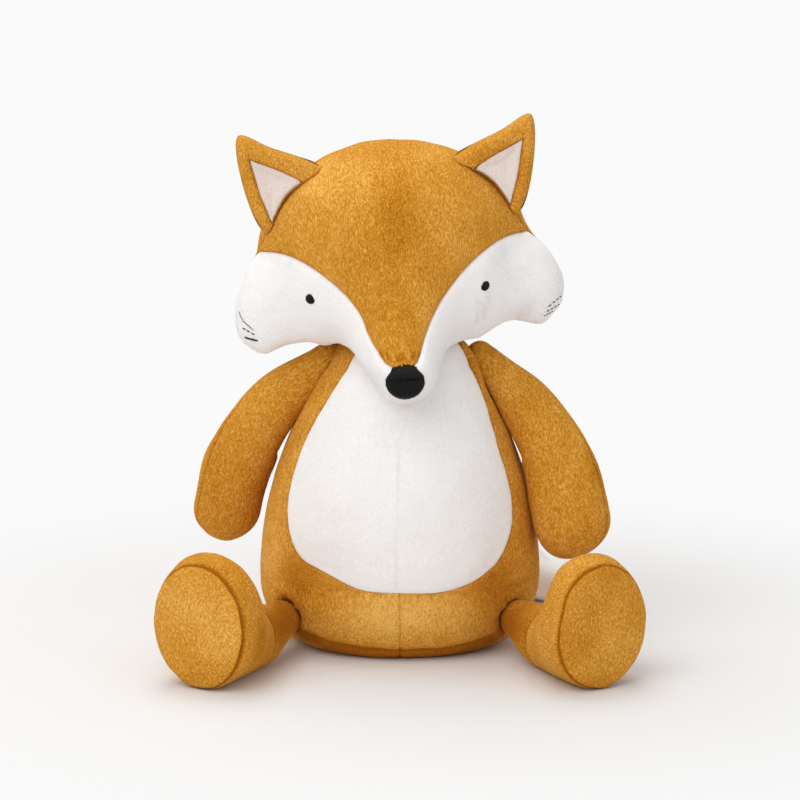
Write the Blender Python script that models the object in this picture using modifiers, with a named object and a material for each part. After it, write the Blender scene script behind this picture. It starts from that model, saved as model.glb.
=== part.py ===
"""Seated plush fox: sewn pile-fabric panels over fibre stuffing, on a weighted flat base.

Metres, +Z up. The fox sits on z = 0 and looks along -Y; +X is the viewer's right.
Each surface is a lattice of rows and columns that follow its seams. A panel is a stretch of that
lattice with the thickness of the fabric, and the stuffing follows the same lattice further in.
"""

import math

import bmesh
import bpy
from mathutils import Matrix, Vector

COLLECTION = "plush_fox"
CUTTERS = "plush_fox_cutters"

# Fabric and fits
SKIN = 0.0022
SEAM_GAP = 0.0006
STUFFING_GAP = 0.0006
SEAT_GAP = 0.0003
JOINT_GAP = 0.0006
MERGE = 0.00001
SOLVE_STEP = 0.00005
SOLVE_END = 0.000001
STEP_SHARE = 0.01
STEP_ROUNDING_SHARE = 0.25

# Torso
TORSO_WIDTH = 0.160
TORSO_DEPTH = 0.131
TORSO_SWELL_SHARE = 0.86
BASE_WIDTH = 0.104
WIDEST_HEIGHT = 0.040
SHOULDER_LINE_HEIGHT = 0.160
BELLY_WIDE_HEIGHT = 0.100
BELLY_LOW_HEIGHT = 0.0405
BELLY_ANGLE = math.radians(65)
BELLY_TOP_ANGLE = math.radians(53)
SIDE_ANGLE = math.radians(90)

# Neck
NECK_DROP = 0.015
NECK_HEIGHT = SHOULDER_LINE_HEIGHT - NECK_DROP
NECK_RADIUS = 0.044
NECK_OPENING_RADIUS = 0.018
WAD_THICKNESS = 0.0044
WAD_ANGLE = math.radians(40)

# Weighted bag in the seat
BAG_RADIUS = 0.037
BAG_HEIGHT = 0.024
BAG_GAP = 0.0015

# Head, measured from its own middle
HEAD_RISE = 0.079
HEAD_OFFSET = 0.002
HEAD_ROLL = math.radians(4.2)
HEAD_TURN = math.radians(1.5)
SKULL_WIDTH = 0.152
SKULL_DEPTH = 0.118
SKULL_HEIGHT = 0.124
SKULL_DROP = 0.0565
CHEEK_REACH = 0.0770
CHEEK_FORWARD = 0.014
CHEEK_TOP_DROP = 0.012
CHEEK_LOW_DROP = 0.0355
CHEEK_RADIUS = 0.0125
JAW_REACH = 0.046
JAW_DROP = 0.022
JAW_RADIUS = 0.027
MUZZLE_FORWARD = 0.0610
MUZZLE_DROP = 0.0575
MUZZLE_RADIUS = 0.0195
MUZZLE_ROOT_FORWARD = 0.026
MUZZLE_ROOT_DROP = 0.020
MUZZLE_ROOT_RADIUS = 0.0395
HEAD_BLEND = 0.016
RAY_REACH = 0.160
NOSE_RING_ANGLE = math.radians(2.0)
CROWN_ANGLE = math.radians(57)
CROWN_SPREAD = math.radians(26)
CROWN_NARROW_SHARE = 0.29
CHEEK_EDGE_ANGLE = math.radians(88)
CROWN_EDGE_ANGLE = math.radians(140)
NOSE_ROW_SHARE = 1.3

# Face: whiskers run between places in from the cheek's side and below its lobe's middle
NOSE_WIDTH = 0.0215
NOSE_HEIGHT = 0.0175
NOSE_DROP_ANGLE = math.radians(3.0)
NOSE_THICKNESS = 0.0030
EYE_SPREAD = 0.0955
EYE_DROP = 0.0178
EYE_SIZE = 0.0050
EYE_THICKNESS = 0.0010
WHISKER_DIAMETER = 0.0009
WHISKER_PLACES = (
    ((0.0050, -0.0095), (0.0120, 0.0)),
    ((0.0065, -0.0015), (0.0130, 0.0030)),
    ((0.0085, 0.0040), (0.0150, 0.0065)),
)

# Ears
EAR_BASE = 0.049
EAR_HEIGHT = 0.043
EAR_THICKNESS = 0.0110
EAR_SIDE_ANGLE = math.radians(56.8)
EAR_FORWARD_ANGLE = math.radians(15.2)
EAR_SEAT_DEPTH = 0.0011
EAR_LEAN = math.radians(44.4)
EAR_GAP = 0.0001
EAR_CENTRE_SHARE = 0.30
EAR_EDGE_SHARE = 0.30
LINING_DIP_SHARE = 0.60
EAR_RING_SHARES = (0.0, 0.27, 0.50, 0.84, 1.0)
EAR_FOOT_DROP = 0.0034
EAR_FOOT_HEIGHT_SHARE = 0.26
LINING_REACH_SHARE = 0.86
RIM_OUTER_WIDTH = 0.0068
RIM_TOP_WIDTH = 0.0112
EAR_OUTLINE_SHARES = (
    (0.00, 0.08),
    (0.28, 0.03),
    (0.47, -0.04),
    (0.45, 0.13),
    (0.30, 0.45),
    (0.08, 0.80),
    (-0.10, 0.99),
    (-0.19, 0.93),
    (-0.27, 0.62),
    (-0.39, 0.30),
    (-0.48, 0.05),
    (-0.46, -0.05),
    (-0.26, 0.04),
)

# Arms: places are (out from the torso's side, down along it)
SHOULDER_DROP = 0.015
SHOULDER_HEIGHT = SHOULDER_LINE_HEIGHT - SHOULDER_DROP
SHOULDER_FLAT = 0.0012
ARM_PATH = ((0.0040, -0.0150), (0.0132, 0.0110), (0.0170, 0.0370), (0.0165, 0.0630), (0.0105, 0.0880))
ARM_RADII = (0.0095, 0.0155, 0.0180, 0.0196, 0.0192)
ARM_FLATNESS_SHARE = 0.90
ARM_FLAT_LENGTH = 0.045
ARM_SWING_LEFT = math.radians(-10)
ARM_SWING_RIGHT = math.radians(14)

# Legs
LEG_RADIUS = 0.0200
LEG_LENGTH = 0.0805
LEG_SPLAY = math.radians(30.5)
HIP_ANGLE = math.radians(50)
HIP_STANDOFF = 0.005
HIP_RADIUS = 0.0130
HIP_HEIGHT = 0.0205
FOOT_WIDTH = 0.062
FOOT_HEIGHT = 0.073
SOLE_CROWN = 0.0045
FLOOR_FLAT = 0.0005
LEG_GROWTH_SHARES = (
    (0.0, 0.0),
    (0.25, 0.0),
    (0.46, 0.02),
    (0.60, 0.32),
    (0.71, 0.76),
    (0.84, 1.0),
    (1.0, 0.90),
)
LEG_TAPER_SHARES = (
    (0.0, 1.0),
    (0.16, 0.66),
    (0.32, 0.20),
    (0.46, 0.0),
    (1.0, 0.0),
)

# Tail
TAIL_ROOT_HEIGHT = 0.026
TAIL_STANDOFF = 0.006
TAIL_REACH = 0.086
TAIL_SWEEP = 0.048
TAIL_RADIUS = 0.021
TAIL_TIP_LENGTH = 0.024
TAIL_PATH_SHARES = ((0.0, 0.0), (0.12, 0.50), (0.42, 0.95), (0.76, 0.86), (1.0, 0.36))
TAIL_GIRTH_SHARES = (0.66, 0.84, 1.0, 0.92, 0.60)

# Lattice counts
TORSO_DOME_ROWS = 3
TORSO_FLANK_ROWS = 4
TORSO_BELLY_ROWS = 5
TORSO_BASE_ROWS = 4
TORSO_BAG_ROWS = 4
BASE_RING_COUNT = 2
BELLY_COLUMNS = 3
FRONT_COLUMNS = 4
BACK_COLUMNS = 6
HEAD_FACE_ROWS = 12
HEAD_BACK_ROWS = 5
CROWN_COLUMNS = 4
CHEEK_COLUMNS = 12
CAP_ROWS = 3
ARM_ROWS = 5
ARM_COLUMNS = 14
LEG_ROWS = 7
LEG_COLUMNS = 14
TAIL_ROWS = 7
TAIL_COLUMNS = 12
EAR_COLUMNS = 24
WAD_TURNS = 4
WAD_STEPS = 24
PAD_SEGMENTS = 16
PAD_RINGS = 6

WHISKER_POINTS = 5

# Colours, linear
MUSTARD = (0.610, 0.255, 0.036)
MUSTARD_DEEP = (0.540, 0.215, 0.028)
WHITE = (0.860, 0.845, 0.825)
BLACK = (0.010, 0.011, 0.012)
FIBRE = (0.780, 0.770, 0.750)
CALICO = (0.620, 0.560, 0.450)
PILE_ROUGHNESS = 0.9
THREAD_ROUGHNESS = 0.6

SIDES = (("left", -1), ("right", 1))


def clear_scene():
    for item in list(bpy.data.objects):
        bpy.data.objects.remove(item, do_unlink=True)


def new_collection(name):
    made = bpy.data.collections.new(name)
    bpy.context.scene.collection.children.link(made)
    return made


def give_material(item, colour, roughness):
    material = bpy.data.materials.new(item.name)
    material.use_nodes = True
    shader = material.node_tree.nodes["Principled BSDF"]
    shader.inputs["Base Color"].default_value = (*colour, 1)
    shader.inputs["Roughness"].default_value = roughness
    shader.inputs["Metallic"].default_value = 0
    item.data.materials.append(material)


def place(name, data, colour, parent=None, roughness=PILE_ROUGHNESS):
    """An object of the part, under its parent's frame."""
    item = bpy.data.objects.new(name, data)
    bpy.data.collections[COLLECTION].objects.link(item)
    item.parent = parent
    give_material(item, colour, roughness)
    return item


def frame_empty(name, matrix, parent=None):
    """An empty that carries the pieces that turn about its origin."""
    item = bpy.data.objects.new(name, None)
    bpy.data.collections[COLLECTION].objects.link(item)
    item.parent = parent
    item.matrix_basis = matrix
    return item


def finish_mesh(name, bm):
    """Turn a closed bmesh into mesh data that faces out and is shaded smooth."""
    loose = [edge for edge in bm.edges if not edge.link_faces]
    bmesh.ops.delete(bm, geom=loose, context="EDGES")
    bmesh.ops.recalc_face_normals(bm, faces=bm.faces)
    data = bpy.data.meshes.new(name)
    bm.to_mesh(data)
    bm.free()
    data.shade_smooth()
    data.set_sharp_from_angle(angle=math.radians(50))
    return data


def blend_curve(points, share):
    """A smooth curve through points (tuples of any length), at 0 to 1 along their order."""
    last = len(points) - 1
    place_on = min(max(share, 0), 1) * last
    k = min(int(place_on), last - 1)
    t = place_on - k
    p0 = points[max(k - 1, 0)]
    p1 = points[k]
    p2 = points[k + 1]
    p3 = points[min(k + 2, last)]
    found = []
    for a, b, c, d in zip(p0, p1, p2, p3):
        slope_b = (c - a) / 2
        slope_c = (d - b) / 2
        cube = 2 * b - 2 * c + slope_b + slope_c
        square = 3 * c - 3 * b - 2 * slope_b - slope_c
        found.append(cube * t**3 + square * t**2 + slope_b * t + b)
    return found


def value_at(table, share):
    """A smooth value from a table of (share, value), at a share."""
    for k in range(len(table) - 1):
        low, high = table[k][0], table[k + 1][0]
        if share <= high or k == len(table) - 2:
            t = min(max((share - low) / (high - low), 0), 1)
            place_on = (k + t) / (len(table) - 1)
            return blend_curve([(row[1],) for row in table], place_on)[0]


def split_outward(bm, surface):
    """Split each quad along the diagonal that stands further out, as a filled panel swells."""
    row = bm.verts.layers.float["row"]
    column = bm.verts.layers.float["column"]
    for face in list(bm.faces):
        if len(face.verts) == 4:
            outer = [surface(vertex[row], vertex[column], 0) for vertex in face.verts]
            inner = [surface(vertex[row], vertex[column], SKIN) for vertex in face.verts]
            outward = sum(outer, Vector()) - sum(inner, Vector())
            first = 0 if (outer[0] + outer[2] - outer[1] - outer[3]).dot(outward) > 0 else 1
            bmesh.utils.face_split(face, face.verts[first], face.verts[first + 2])


def sewn_panel(name, surface, rows, columns, colour, parent=None, half=None, pulled=()):
    """A panel: lattice rows by columns of a surface, with thickness, drawn back at its seams.

    surface(row, column, depth) gives a point. half points away from the middle plane of a panel
    that ends at that plane. pulled names the other edges that meet a neighbour: first_row,
    last_row, first_column and last_column.
    """
    row_count = rows[1] - rows[0]
    column_count = columns[1] - columns[0]
    bm = bmesh.new()
    bmesh.ops.create_grid(bm, x_segments=column_count, y_segments=row_count, size=1)
    row_layer = bm.verts.layers.float.new("row")
    column_layer = bm.verts.layers.float.new("column")
    for vertex in bm.verts:
        vertex[row_layer] = rows[0] + round((vertex.co.y + 1) / 2 * row_count)
        vertex[column_layer] = columns[0] + round((vertex.co.x + 1) / 2 * column_count)
        vertex.co = surface(vertex[row_layer], vertex[column_layer], 0)
    bmesh.ops.remove_doubles(bm, verts=bm.verts, dist=MERGE)
    split_outward(bm, surface)

    def point(vertex, at_depth):
        found = surface(vertex[row_layer], vertex[column_layer], at_depth)
        if half:
            found += half * max(SEAM_GAP / 2 - found.dot(half), 0)
        return found

    for vertex in bm.verts:
        row, column = vertex[row_layer], vertex[column_layer]
        vertex[row_layer] += edge_pull(surface, row, column, rows, columns, pulled, "row")
        vertex[column_layer] += edge_pull(surface, row, column, rows, columns, pulled, "column")
        vertex.co = point(vertex, 0)
    outer = set(bm.verts)
    bmesh.ops.extrude_face_region(bm, geom=list(bm.faces), use_keep_orig=True)
    for vertex in bm.verts:
        if vertex not in outer:
            vertex.co = point(vertex, SKIN)
    bmesh.ops.remove_doubles(bm, verts=bm.verts, dist=MERGE)
    return place(name, finish_mesh(name, bm), colour, parent)


def edge_pull(surface, row, column, rows, columns, pulled, along):
    """How far, in lattice steps, an edge vertex is drawn back from its seam."""
    here = surface(row, column, 0)
    if along == "row":
        if "first_row" in pulled and row == rows[0]:
            return SEAM_GAP / 2 / (surface(row + 1, column, 0) - here).length
        if "last_row" in pulled and row == rows[1]:
            return -SEAM_GAP / 2 / (surface(row - 1, column, 0) - here).length
        return 0
    if "first_column" in pulled and column == columns[0]:
        step = (surface(row, column + 1, 0) - here).length
        return min(SEAM_GAP / 2 / step, 1 / 2) if step > MERGE else 0
    if "last_column" in pulled and column == columns[1]:
        step = (surface(row, column - 1, 0) - here).length
        return -min(SEAM_GAP / 2 / step, 1 / 2) if step > MERGE else 0
    return 0


def stuffing(name, surface, row_count, column_count, colour, parent=None, depth=SKIN + STUFFING_GAP):
    """A closed filling whose rings and segments are the rows and columns of its surface."""
    bm = bmesh.new()
    bmesh.ops.create_uvsphere(bm, u_segments=column_count, v_segments=row_count, radius=1)
    row_layer = bm.verts.layers.float.new("row")
    column_layer = bm.verts.layers.float.new("column")
    for vertex in bm.verts:
        polar = math.acos(min(max(vertex.co.z, -1), 1))
        turn = math.atan2(vertex.co.y, vertex.co.x) % math.tau
        vertex[row_layer] = round(polar / math.pi * row_count)
        vertex[column_layer] = int(turn / math.tau * column_count + STEP_ROUNDING_SHARE) % column_count
    split_outward(bm, surface)
    for vertex in bm.verts:
        vertex.co = surface(vertex[row_layer], vertex[column_layer], depth)
    bmesh.ops.remove_doubles(bm, verts=bm.verts, dist=MERGE)
    return place(name, finish_mesh(name, bm), colour, parent)


def turned(name, profile, steps, colour, parent=None):
    """A turned solid about Z, from a profile of (radius, height) that runs down its outer side."""
    bm = bmesh.new()
    corners = [bm.verts.new((radius, 0, height)) for radius, height in profile]
    for first, second in zip(corners, corners[1:]):
        bm.edges.new((first, second))
    data = bpy.data.meshes.new(name)
    bm.to_mesh(data)
    bm.free()
    item = place(name, data, colour, parent)
    screw = item.modifiers.new("turn", "SCREW")
    screw.steps = steps
    screw.render_steps = steps
    screw.use_merge_vertices = True
    screw.merge_threshold = MERGE
    screw.use_smooth_shade = True
    return item


def ball_cutter(name, centre, radius):
    """A cutter for the hollow that a ball of the radius turns in."""
    bm = bmesh.new()
    bmesh.ops.create_uvsphere(bm, u_segments=28, v_segments=18, radius=radius)
    data = bpy.data.meshes.new(name)
    bm.to_mesh(data)
    bm.free()
    item = bpy.data.objects.new(name, data)
    item.location = centre
    item.hide_render = True
    item.display_type = "WIRE"
    bpy.data.collections[CUTTERS].objects.link(item)
    return item


def cut(item, cutter):
    modifier = item.modifiers.new(cutter.name, "BOOLEAN")
    modifier.operation = "DIFFERENCE"
    modifier.solver = "EXACT"
    modifier.object = cutter


# Torso

DOME_EDGE_ANGLE = math.acos((SHOULDER_LINE_HEIGHT - NECK_HEIGHT) / NECK_RADIUS)
DOME_EDGE_RADIUS = NECK_RADIUS * math.sin(DOME_EDGE_ANGLE)
OPENING_ANGLE = math.asin(NECK_OPENING_RADIUS / NECK_RADIUS)
ROW_OPENING = 1
ROW_SHOULDER = ROW_OPENING + TORSO_DOME_ROWS
ROW_BELLY_WIDE = ROW_SHOULDER + TORSO_FLANK_ROWS
ROW_BELLY_LOW = ROW_BELLY_WIDE + TORSO_BELLY_ROWS
ROW_RIM = ROW_BELLY_LOW + TORSO_BASE_ROWS
COLUMN_SIDE = BELLY_COLUMNS + FRONT_COLUMNS
COLUMN_BACK = COLUMN_SIDE + BACK_COLUMNS


def torso_axes(height):
    """Half width and half depth of the torso under the shoulder line."""
    half_width = TORSO_WIDTH / 2
    if height < WIDEST_HEIGHT:
        drop = (WIDEST_HEIGHT - height) / WIDEST_HEIGHT
        swell = math.sqrt(max(1 - drop**2, 0))
        width = BASE_WIDTH / 2 + (half_width - BASE_WIDTH / 2) * swell
        return width, width * TORSO_DEPTH / TORSO_WIDTH
    drop = (SHOULDER_LINE_HEIGHT - height) / (SHOULDER_LINE_HEIGHT - WIDEST_HEIGHT)
    swell = max(math.sin(drop * math.pi / 2), 0) ** TORSO_SWELL_SHARE
    width = DOME_EDGE_RADIUS + (half_width - DOME_EDGE_RADIUS) * swell
    return width, width * (1 - (1 - TORSO_DEPTH / TORSO_WIDTH) * swell)


def torso_ring(row):
    """Height, half width and half depth of the torso at a lattice row."""
    if row <= ROW_SHOULDER:
        if row < ROW_OPENING:
            angle = OPENING_ANGLE * row
        else:
            share = (row - ROW_OPENING) / TORSO_DOME_ROWS
            angle = OPENING_ANGLE + (DOME_EDGE_ANGLE - OPENING_ANGLE) * share
        radius = NECK_RADIUS * math.sin(angle)
        return NECK_HEIGHT + NECK_RADIUS * math.cos(angle), radius, radius
    if row <= ROW_BELLY_WIDE:
        share = (row - ROW_SHOULDER) / TORSO_FLANK_ROWS
        height = SHOULDER_LINE_HEIGHT + (BELLY_WIDE_HEIGHT - SHOULDER_LINE_HEIGHT) * share
    elif row <= ROW_BELLY_LOW:
        share = (row - ROW_BELLY_WIDE) / TORSO_BELLY_ROWS
        height = BELLY_WIDE_HEIGHT - (BELLY_WIDE_HEIGHT - BELLY_LOW_HEIGHT) * math.sin(share * math.pi / 2)
    else:
        share = (row - ROW_BELLY_LOW) / TORSO_BASE_ROWS
        height = BELLY_LOW_HEIGHT * (1 - math.sin(share * math.pi / 2))
    return height, *torso_axes(height)


def belly_angle(row):
    """Where the belly's seam runs, as an angle round from the front."""
    if row <= ROW_BELLY_WIDE:
        share = row / ROW_BELLY_WIDE
        return BELLY_TOP_ANGLE + (BELLY_ANGLE - BELLY_TOP_ANGLE) * share
    share = min((row - ROW_BELLY_WIDE) / TORSO_BELLY_ROWS, 1)
    return BELLY_ANGLE * math.cos(share * math.pi / 2)


def torso_angle(row, column):
    """The angle round from the front of a lattice column, which follows the seams."""
    seam = belly_angle(row)
    if column <= BELLY_COLUMNS:
        return seam * column / BELLY_COLUMNS
    if column <= COLUMN_SIDE:
        return seam + (SIDE_ANGLE - seam) * (column - BELLY_COLUMNS) / FRONT_COLUMNS
    return SIDE_ANGLE + (math.pi - SIDE_ANGLE) * (column - COLUMN_SIDE) / BACK_COLUMNS


def torso_point(row, angle):
    height, half_width, half_depth = torso_ring(row)
    return Vector((half_width * math.sin(angle), -half_depth * math.cos(angle), height))


def torso_normal(row, angle):
    """Outward normal, from neighbouring points."""
    row = max(row, STEP_SHARE)
    high = min(row + STEP_SHARE, ROW_RIM)
    along = torso_point(high, angle) - torso_point(high - STEP_SHARE, angle)
    across = torso_point(row, angle + STEP_SHARE) - torso_point(row, angle - STEP_SHARE)
    return along.cross(across).normalized()


def shoulder_frame():
    """The right shoulder's seat on the torso: its point and its outward normal."""
    row = ROW_SHOULDER
    while torso_ring(row)[0] > SHOULDER_HEIGHT:
        row += STEP_SHARE
    normal = torso_normal(row, SIDE_ANGLE)
    return torso_point(row, SIDE_ANGLE) - normal * SHOULDER_FLAT, normal


SHOULDER_POINT, SHOULDER_NORMAL = shoulder_frame()


def torso_surface(row, column, depth):
    """The torso's surface, columns counted from the front's middle, with the shoulders' flats."""
    side = -1 if column < 0 else 1
    angle = torso_angle(row, abs(column))
    found = torso_point(row, angle) - torso_normal(row, angle) * depth
    beyond = (found - SHOULDER_POINT).dot(SHOULDER_NORMAL) + depth
    if beyond > 0:
        found -= SHOULDER_NORMAL * beyond
    found.x = side * max(found.x, 0)
    return found


def base_direction(column):
    """The way out from the middle of the base to a lattice column, at full width one unit long."""
    angle = torso_angle(ROW_RIM, abs(column))
    forward = -math.cos(angle) * TORSO_DEPTH / TORSO_WIDTH
    return Vector((math.copysign(math.sin(angle), column), forward, 0))


def bag_point(row, column, clearance, height):
    """The weighted bag's surface, a clearance out, from its rim at row 1 to its top."""
    share = (row - 1) / (TORSO_BAG_ROWS - 1)
    found = base_direction(column) * (BAG_RADIUS + clearance) * math.cos(share * math.pi / 2)
    found.z = height + (BAG_HEIGHT + clearance) * math.sin(share * math.pi / 2)
    return found


def torso_filling(row, column, depth):
    """The stuffing's surface, which ends in a hollow over the weighted bag."""
    if column > COLUMN_BACK:
        column -= 2 * COLUMN_BACK
    if row < ROW_RIM:
        return torso_surface(row, column, depth)
    if row == ROW_RIM:
        return base_direction(column) * (BASE_WIDTH / 2 - depth) + Vector((0, 0, depth))
    return bag_point(row - ROW_RIM, column, BAG_GAP, depth)


def bag_surface(row, column, depth):
    if column > COLUMN_BACK:
        column -= 2 * COLUMN_BACK
    bottom = SKIN + SEAT_GAP + depth
    return bag_point(row, column, -depth, bottom) if row else Vector((0, 0, bottom))


def make_torso():
    """The torso's panels, its base, its stuffing and the weighted bag."""
    made = {}
    around = 2 * COLUMN_BACK
    for side_name, side in SIDES:
        def surface(row, column, depth, side=side):
            return torso_surface(row, side * column, depth)

        away = Vector((side, 0, 0))
        made["belly_" + side_name] = sewn_panel(
            "belly_" + side_name, surface, (ROW_OPENING, ROW_BELLY_LOW), (0, BELLY_COLUMNS), WHITE,
            half=away, pulled=("last_column",))
        made["front_" + side_name] = sewn_panel(
            "front_" + side_name, surface, (ROW_OPENING, ROW_RIM), (BELLY_COLUMNS, COLUMN_SIDE), MUSTARD,
            half=away, pulled=("first_column", "last_column"))
        made["back_" + side_name] = sewn_panel(
            "back_" + side_name, surface, (ROW_OPENING, ROW_RIM), (COLUMN_SIDE, COLUMN_BACK), MUSTARD,
            half=away, pulled=("first_column",))
    made["torso_stuffing"] = stuffing(
        "torso_stuffing", torso_filling, ROW_RIM + TORSO_BAG_ROWS, around, FIBRE)
    sewn_panel(
        "base_panel", base_surface, (0, BASE_RING_COUNT), (-COLUMN_BACK, COLUMN_BACK), MUSTARD_DEEP)
    stuffing("pellet_bag", bag_surface, TORSO_BAG_ROWS, around, CALICO, depth=0)
    return made


def base_surface(row, column, depth):
    """The flat panel under the torso, whose edge follows the torso's lattice."""
    found = base_direction(column) * (BASE_WIDTH / 2 - SEAM_GAP) * row / BASE_RING_COUNT
    found.z = depth
    return found


# Neck

def make_neck_wad(parent):
    """The cap of stuffing between torso and head, a shell about the neck's pivot."""
    inner = NECK_RADIUS + JOINT_GAP
    outer = inner + WAD_THICKNESS
    angles = [k / WAD_TURNS * WAD_ANGLE for k in range(WAD_TURNS + 1)]
    profile = [(outer * math.sin(angle), outer * math.cos(angle)) for angle in angles]
    profile += [(inner * math.sin(angle), inner * math.cos(angle)) for angle in reversed(angles)]
    turned("neck_wad", profile, WAD_STEPS, FIBRE, parent)


# Head

SOCKET_RADIUS = NECK_RADIUS + WAD_THICKNESS + 2 * JOINT_GAP
HEAD_PIVOT = Vector((-HEAD_OFFSET, 0, -HEAD_RISE))
MUZZLE_AXIS = Vector((0, -MUZZLE_FORWARD - MUZZLE_RADIUS, -MUZZLE_DROP)).normalized()
MUZZLE_UP = Vector((0, MUZZLE_AXIS.z, -MUZZLE_AXIS.y))
COLUMN_CHIN = CROWN_COLUMNS + CHEEK_COLUMNS
ROW_NOSE_RING = 1
ROW_FACE_EDGE = ROW_NOSE_RING + HEAD_FACE_ROWS
ROW_HEAD_END = ROW_FACE_EDGE + HEAD_BACK_ROWS


def capsule_distance(point, start, end, start_radius, end_radius):
    """Signed distance to a rounded bar that tapers from one radius to another."""
    axis = end - start
    share = min(max((point - start).dot(axis) / axis.length_squared, 0), 1)
    return (point - start - axis * share).length - start_radius - (end_radius - start_radius) * share


def soft_union(first, second, width):
    """The lesser of two distances, rounded where they meet."""
    share = max(width - abs(first - second), 0) / width
    return min(first, second) - width * share**2 / 4


def skull_distance(point):
    half = Vector((SKULL_WIDTH / 2, SKULL_DEPTH / 2, SKULL_HEIGHT / 2 if point.z > 0 else SKULL_DROP))
    scaled = Vector((point.x / half.x, point.y / half.y, point.z / half.z))
    squared = Vector((scaled.x / half.x, scaled.y / half.y, scaled.z / half.z))
    if squared.length == 0:
        return -min(half)
    return scaled.length * (scaled.length - 1) / squared.length


def head_distance(point):
    """Signed distance to the head: skull, cheeks and muzzle in one."""
    folded = Vector((abs(point.x), point.y, point.z))
    cheek_top = Vector((CHEEK_REACH - CHEEK_RADIUS / 3, -CHEEK_FORWARD, -CHEEK_TOP_DROP))
    cheek_low = Vector((CHEEK_REACH, -CHEEK_FORWARD, -CHEEK_LOW_DROP))
    jaw = Vector((JAW_REACH, -CHEEK_FORWARD, -JAW_DROP))
    muzzle_root = Vector((0, -MUZZLE_ROOT_FORWARD, -MUZZLE_ROOT_DROP))
    muzzle_tip = Vector((0, -MUZZLE_FORWARD, -MUZZLE_DROP))
    cheek = capsule_distance(folded, cheek_top, cheek_low, CHEEK_RADIUS, CHEEK_RADIUS)
    jowl = capsule_distance(folded, jaw, (cheek_top + cheek_low) / 2, JAW_RADIUS, CHEEK_RADIUS)
    muzzle = capsule_distance(folded, muzzle_root, muzzle_tip, MUZZLE_ROOT_RADIUS, MUZZLE_RADIUS)
    found = soft_union(skull_distance(folded), jowl, HEAD_BLEND)
    found = soft_union(found, cheek, HEAD_BLEND)
    return soft_union(found, muzzle, HEAD_BLEND)


def head_along(direction, depth):
    """The point of the head's surface in a direction from its middle, at a depth."""
    low, high = 0, RAY_REACH
    while high - low > SOLVE_END:
        middle = (low + high) / 2
        if head_distance(direction * middle) > -depth:
            high = middle
        else:
            low = middle
    return direction * low


def head_direction(row, column):
    """Direction of a lattice point: rows from the nose to the back, columns from the crown round."""
    side = -1 if column < 0 else 1
    column = abs(column)
    share = min(max((row - ROW_NOSE_RING) / HEAD_FACE_ROWS, 0), 1) ** NOSE_ROW_SHARE
    bow = (share - CROWN_NARROW_SHARE) / (1 - CROWN_NARROW_SHARE)
    seam = CROWN_ANGLE + CROWN_SPREAD * bow**2
    if column <= CROWN_COLUMNS:
        turn = seam * column / CROWN_COLUMNS
    else:
        turn = seam + (math.pi - seam) * (column - CROWN_COLUMNS) / CHEEK_COLUMNS
    crown_share = max(1 - (turn / (CROWN_ANGLE + CROWN_SPREAD)) ** 2, 0) ** 2
    edge = CHEEK_EDGE_ANGLE + (CROWN_EDGE_ANGLE - CHEEK_EDGE_ANGLE) * crown_share
    if row <= ROW_NOSE_RING:
        polar = NOSE_RING_ANGLE * row
    elif row <= ROW_FACE_EDGE:
        polar = NOSE_RING_ANGLE + (edge - NOSE_RING_ANGLE) * share
    else:
        polar = edge + (math.pi - edge) * (row - ROW_FACE_EDGE) / HEAD_BACK_ROWS
    away = MUZZLE_UP * math.cos(turn) + Vector((side * math.sin(turn), 0, 0))
    return MUZZLE_AXIS * math.cos(polar) + away * math.sin(polar)


def head_surface(row, column, depth):
    found = head_along(head_direction(row, column), depth)
    found.x = math.copysign(found.x, column) if column else 0
    return found


def head_filling(row, column, depth):
    if column > COLUMN_CHIN:
        column -= 2 * COLUMN_CHIN
    return head_surface(row, column, depth)


def face_point(across, drop, height):
    """The point of the face in front of a place given across and below the head's middle."""
    low, high = -RAY_REACH, 0
    while high - low > SOLVE_END:
        middle = (low + high) / 2
        if head_distance(Vector((across, middle, -drop))) > height:
            low = middle
        else:
            high = middle
    return Vector((across, low, -drop))


def pad_on_head(name, toward, half_width, half_height, thickness, parent):
    """A domed pad of stitches that lies on the face, centred on a direction from the middle."""
    centre = head_along(toward, 0)
    across = Vector((0, 0, 1)).cross(toward).normalized()
    upward = toward.cross(across)
    bm = bmesh.new()
    bmesh.ops.create_uvsphere(bm, u_segments=PAD_SEGMENTS, v_segments=PAD_RINGS, radius=1)
    for vertex in bm.verts:
        spot = centre + across * vertex.co.x * half_width + upward * vertex.co.y * half_height
        height = SEAT_GAP + thickness * (1 + vertex.co.z) / 2
        vertex.co = head_along(spot.normalized(), -height)
    place(name, finish_mesh(name, bm), BLACK, parent, THREAD_ROUGHNESS)


def make_whisker(name, side, start, end, cheek, parent):
    """A stitched line on a cheek: a thread that lies on the fabric."""
    curve = bpy.data.curves.new(name, "CURVE")
    curve.dimensions = "3D"
    curve.bevel_depth = WHISKER_DIAMETER / 2
    curve.bevel_resolution = 1
    curve.use_fill_caps = True
    line = curve.splines.new("POLY")
    line.points.add(WHISKER_POINTS - 1)
    for k, point in enumerate(line.points):
        share = k / (WHISKER_POINTS - 1)
        inward = start[0] + (end[0] - start[0]) * share
        below = start[1] + (end[1] - start[1]) * share
        spot = face_point(side * (CHEEK_REACH + CHEEK_RADIUS - inward), CHEEK_LOW_DROP + below, 0)
        on_cheek, normal = cheek.closest_point_on_mesh(spot)[1:3]
        point.co = (*(on_cheek + normal * (SEAT_GAP + WHISKER_DIAMETER / 2)), 1)
    place(name, curve, BLACK, parent, THREAD_ROUGHNESS)


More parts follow.
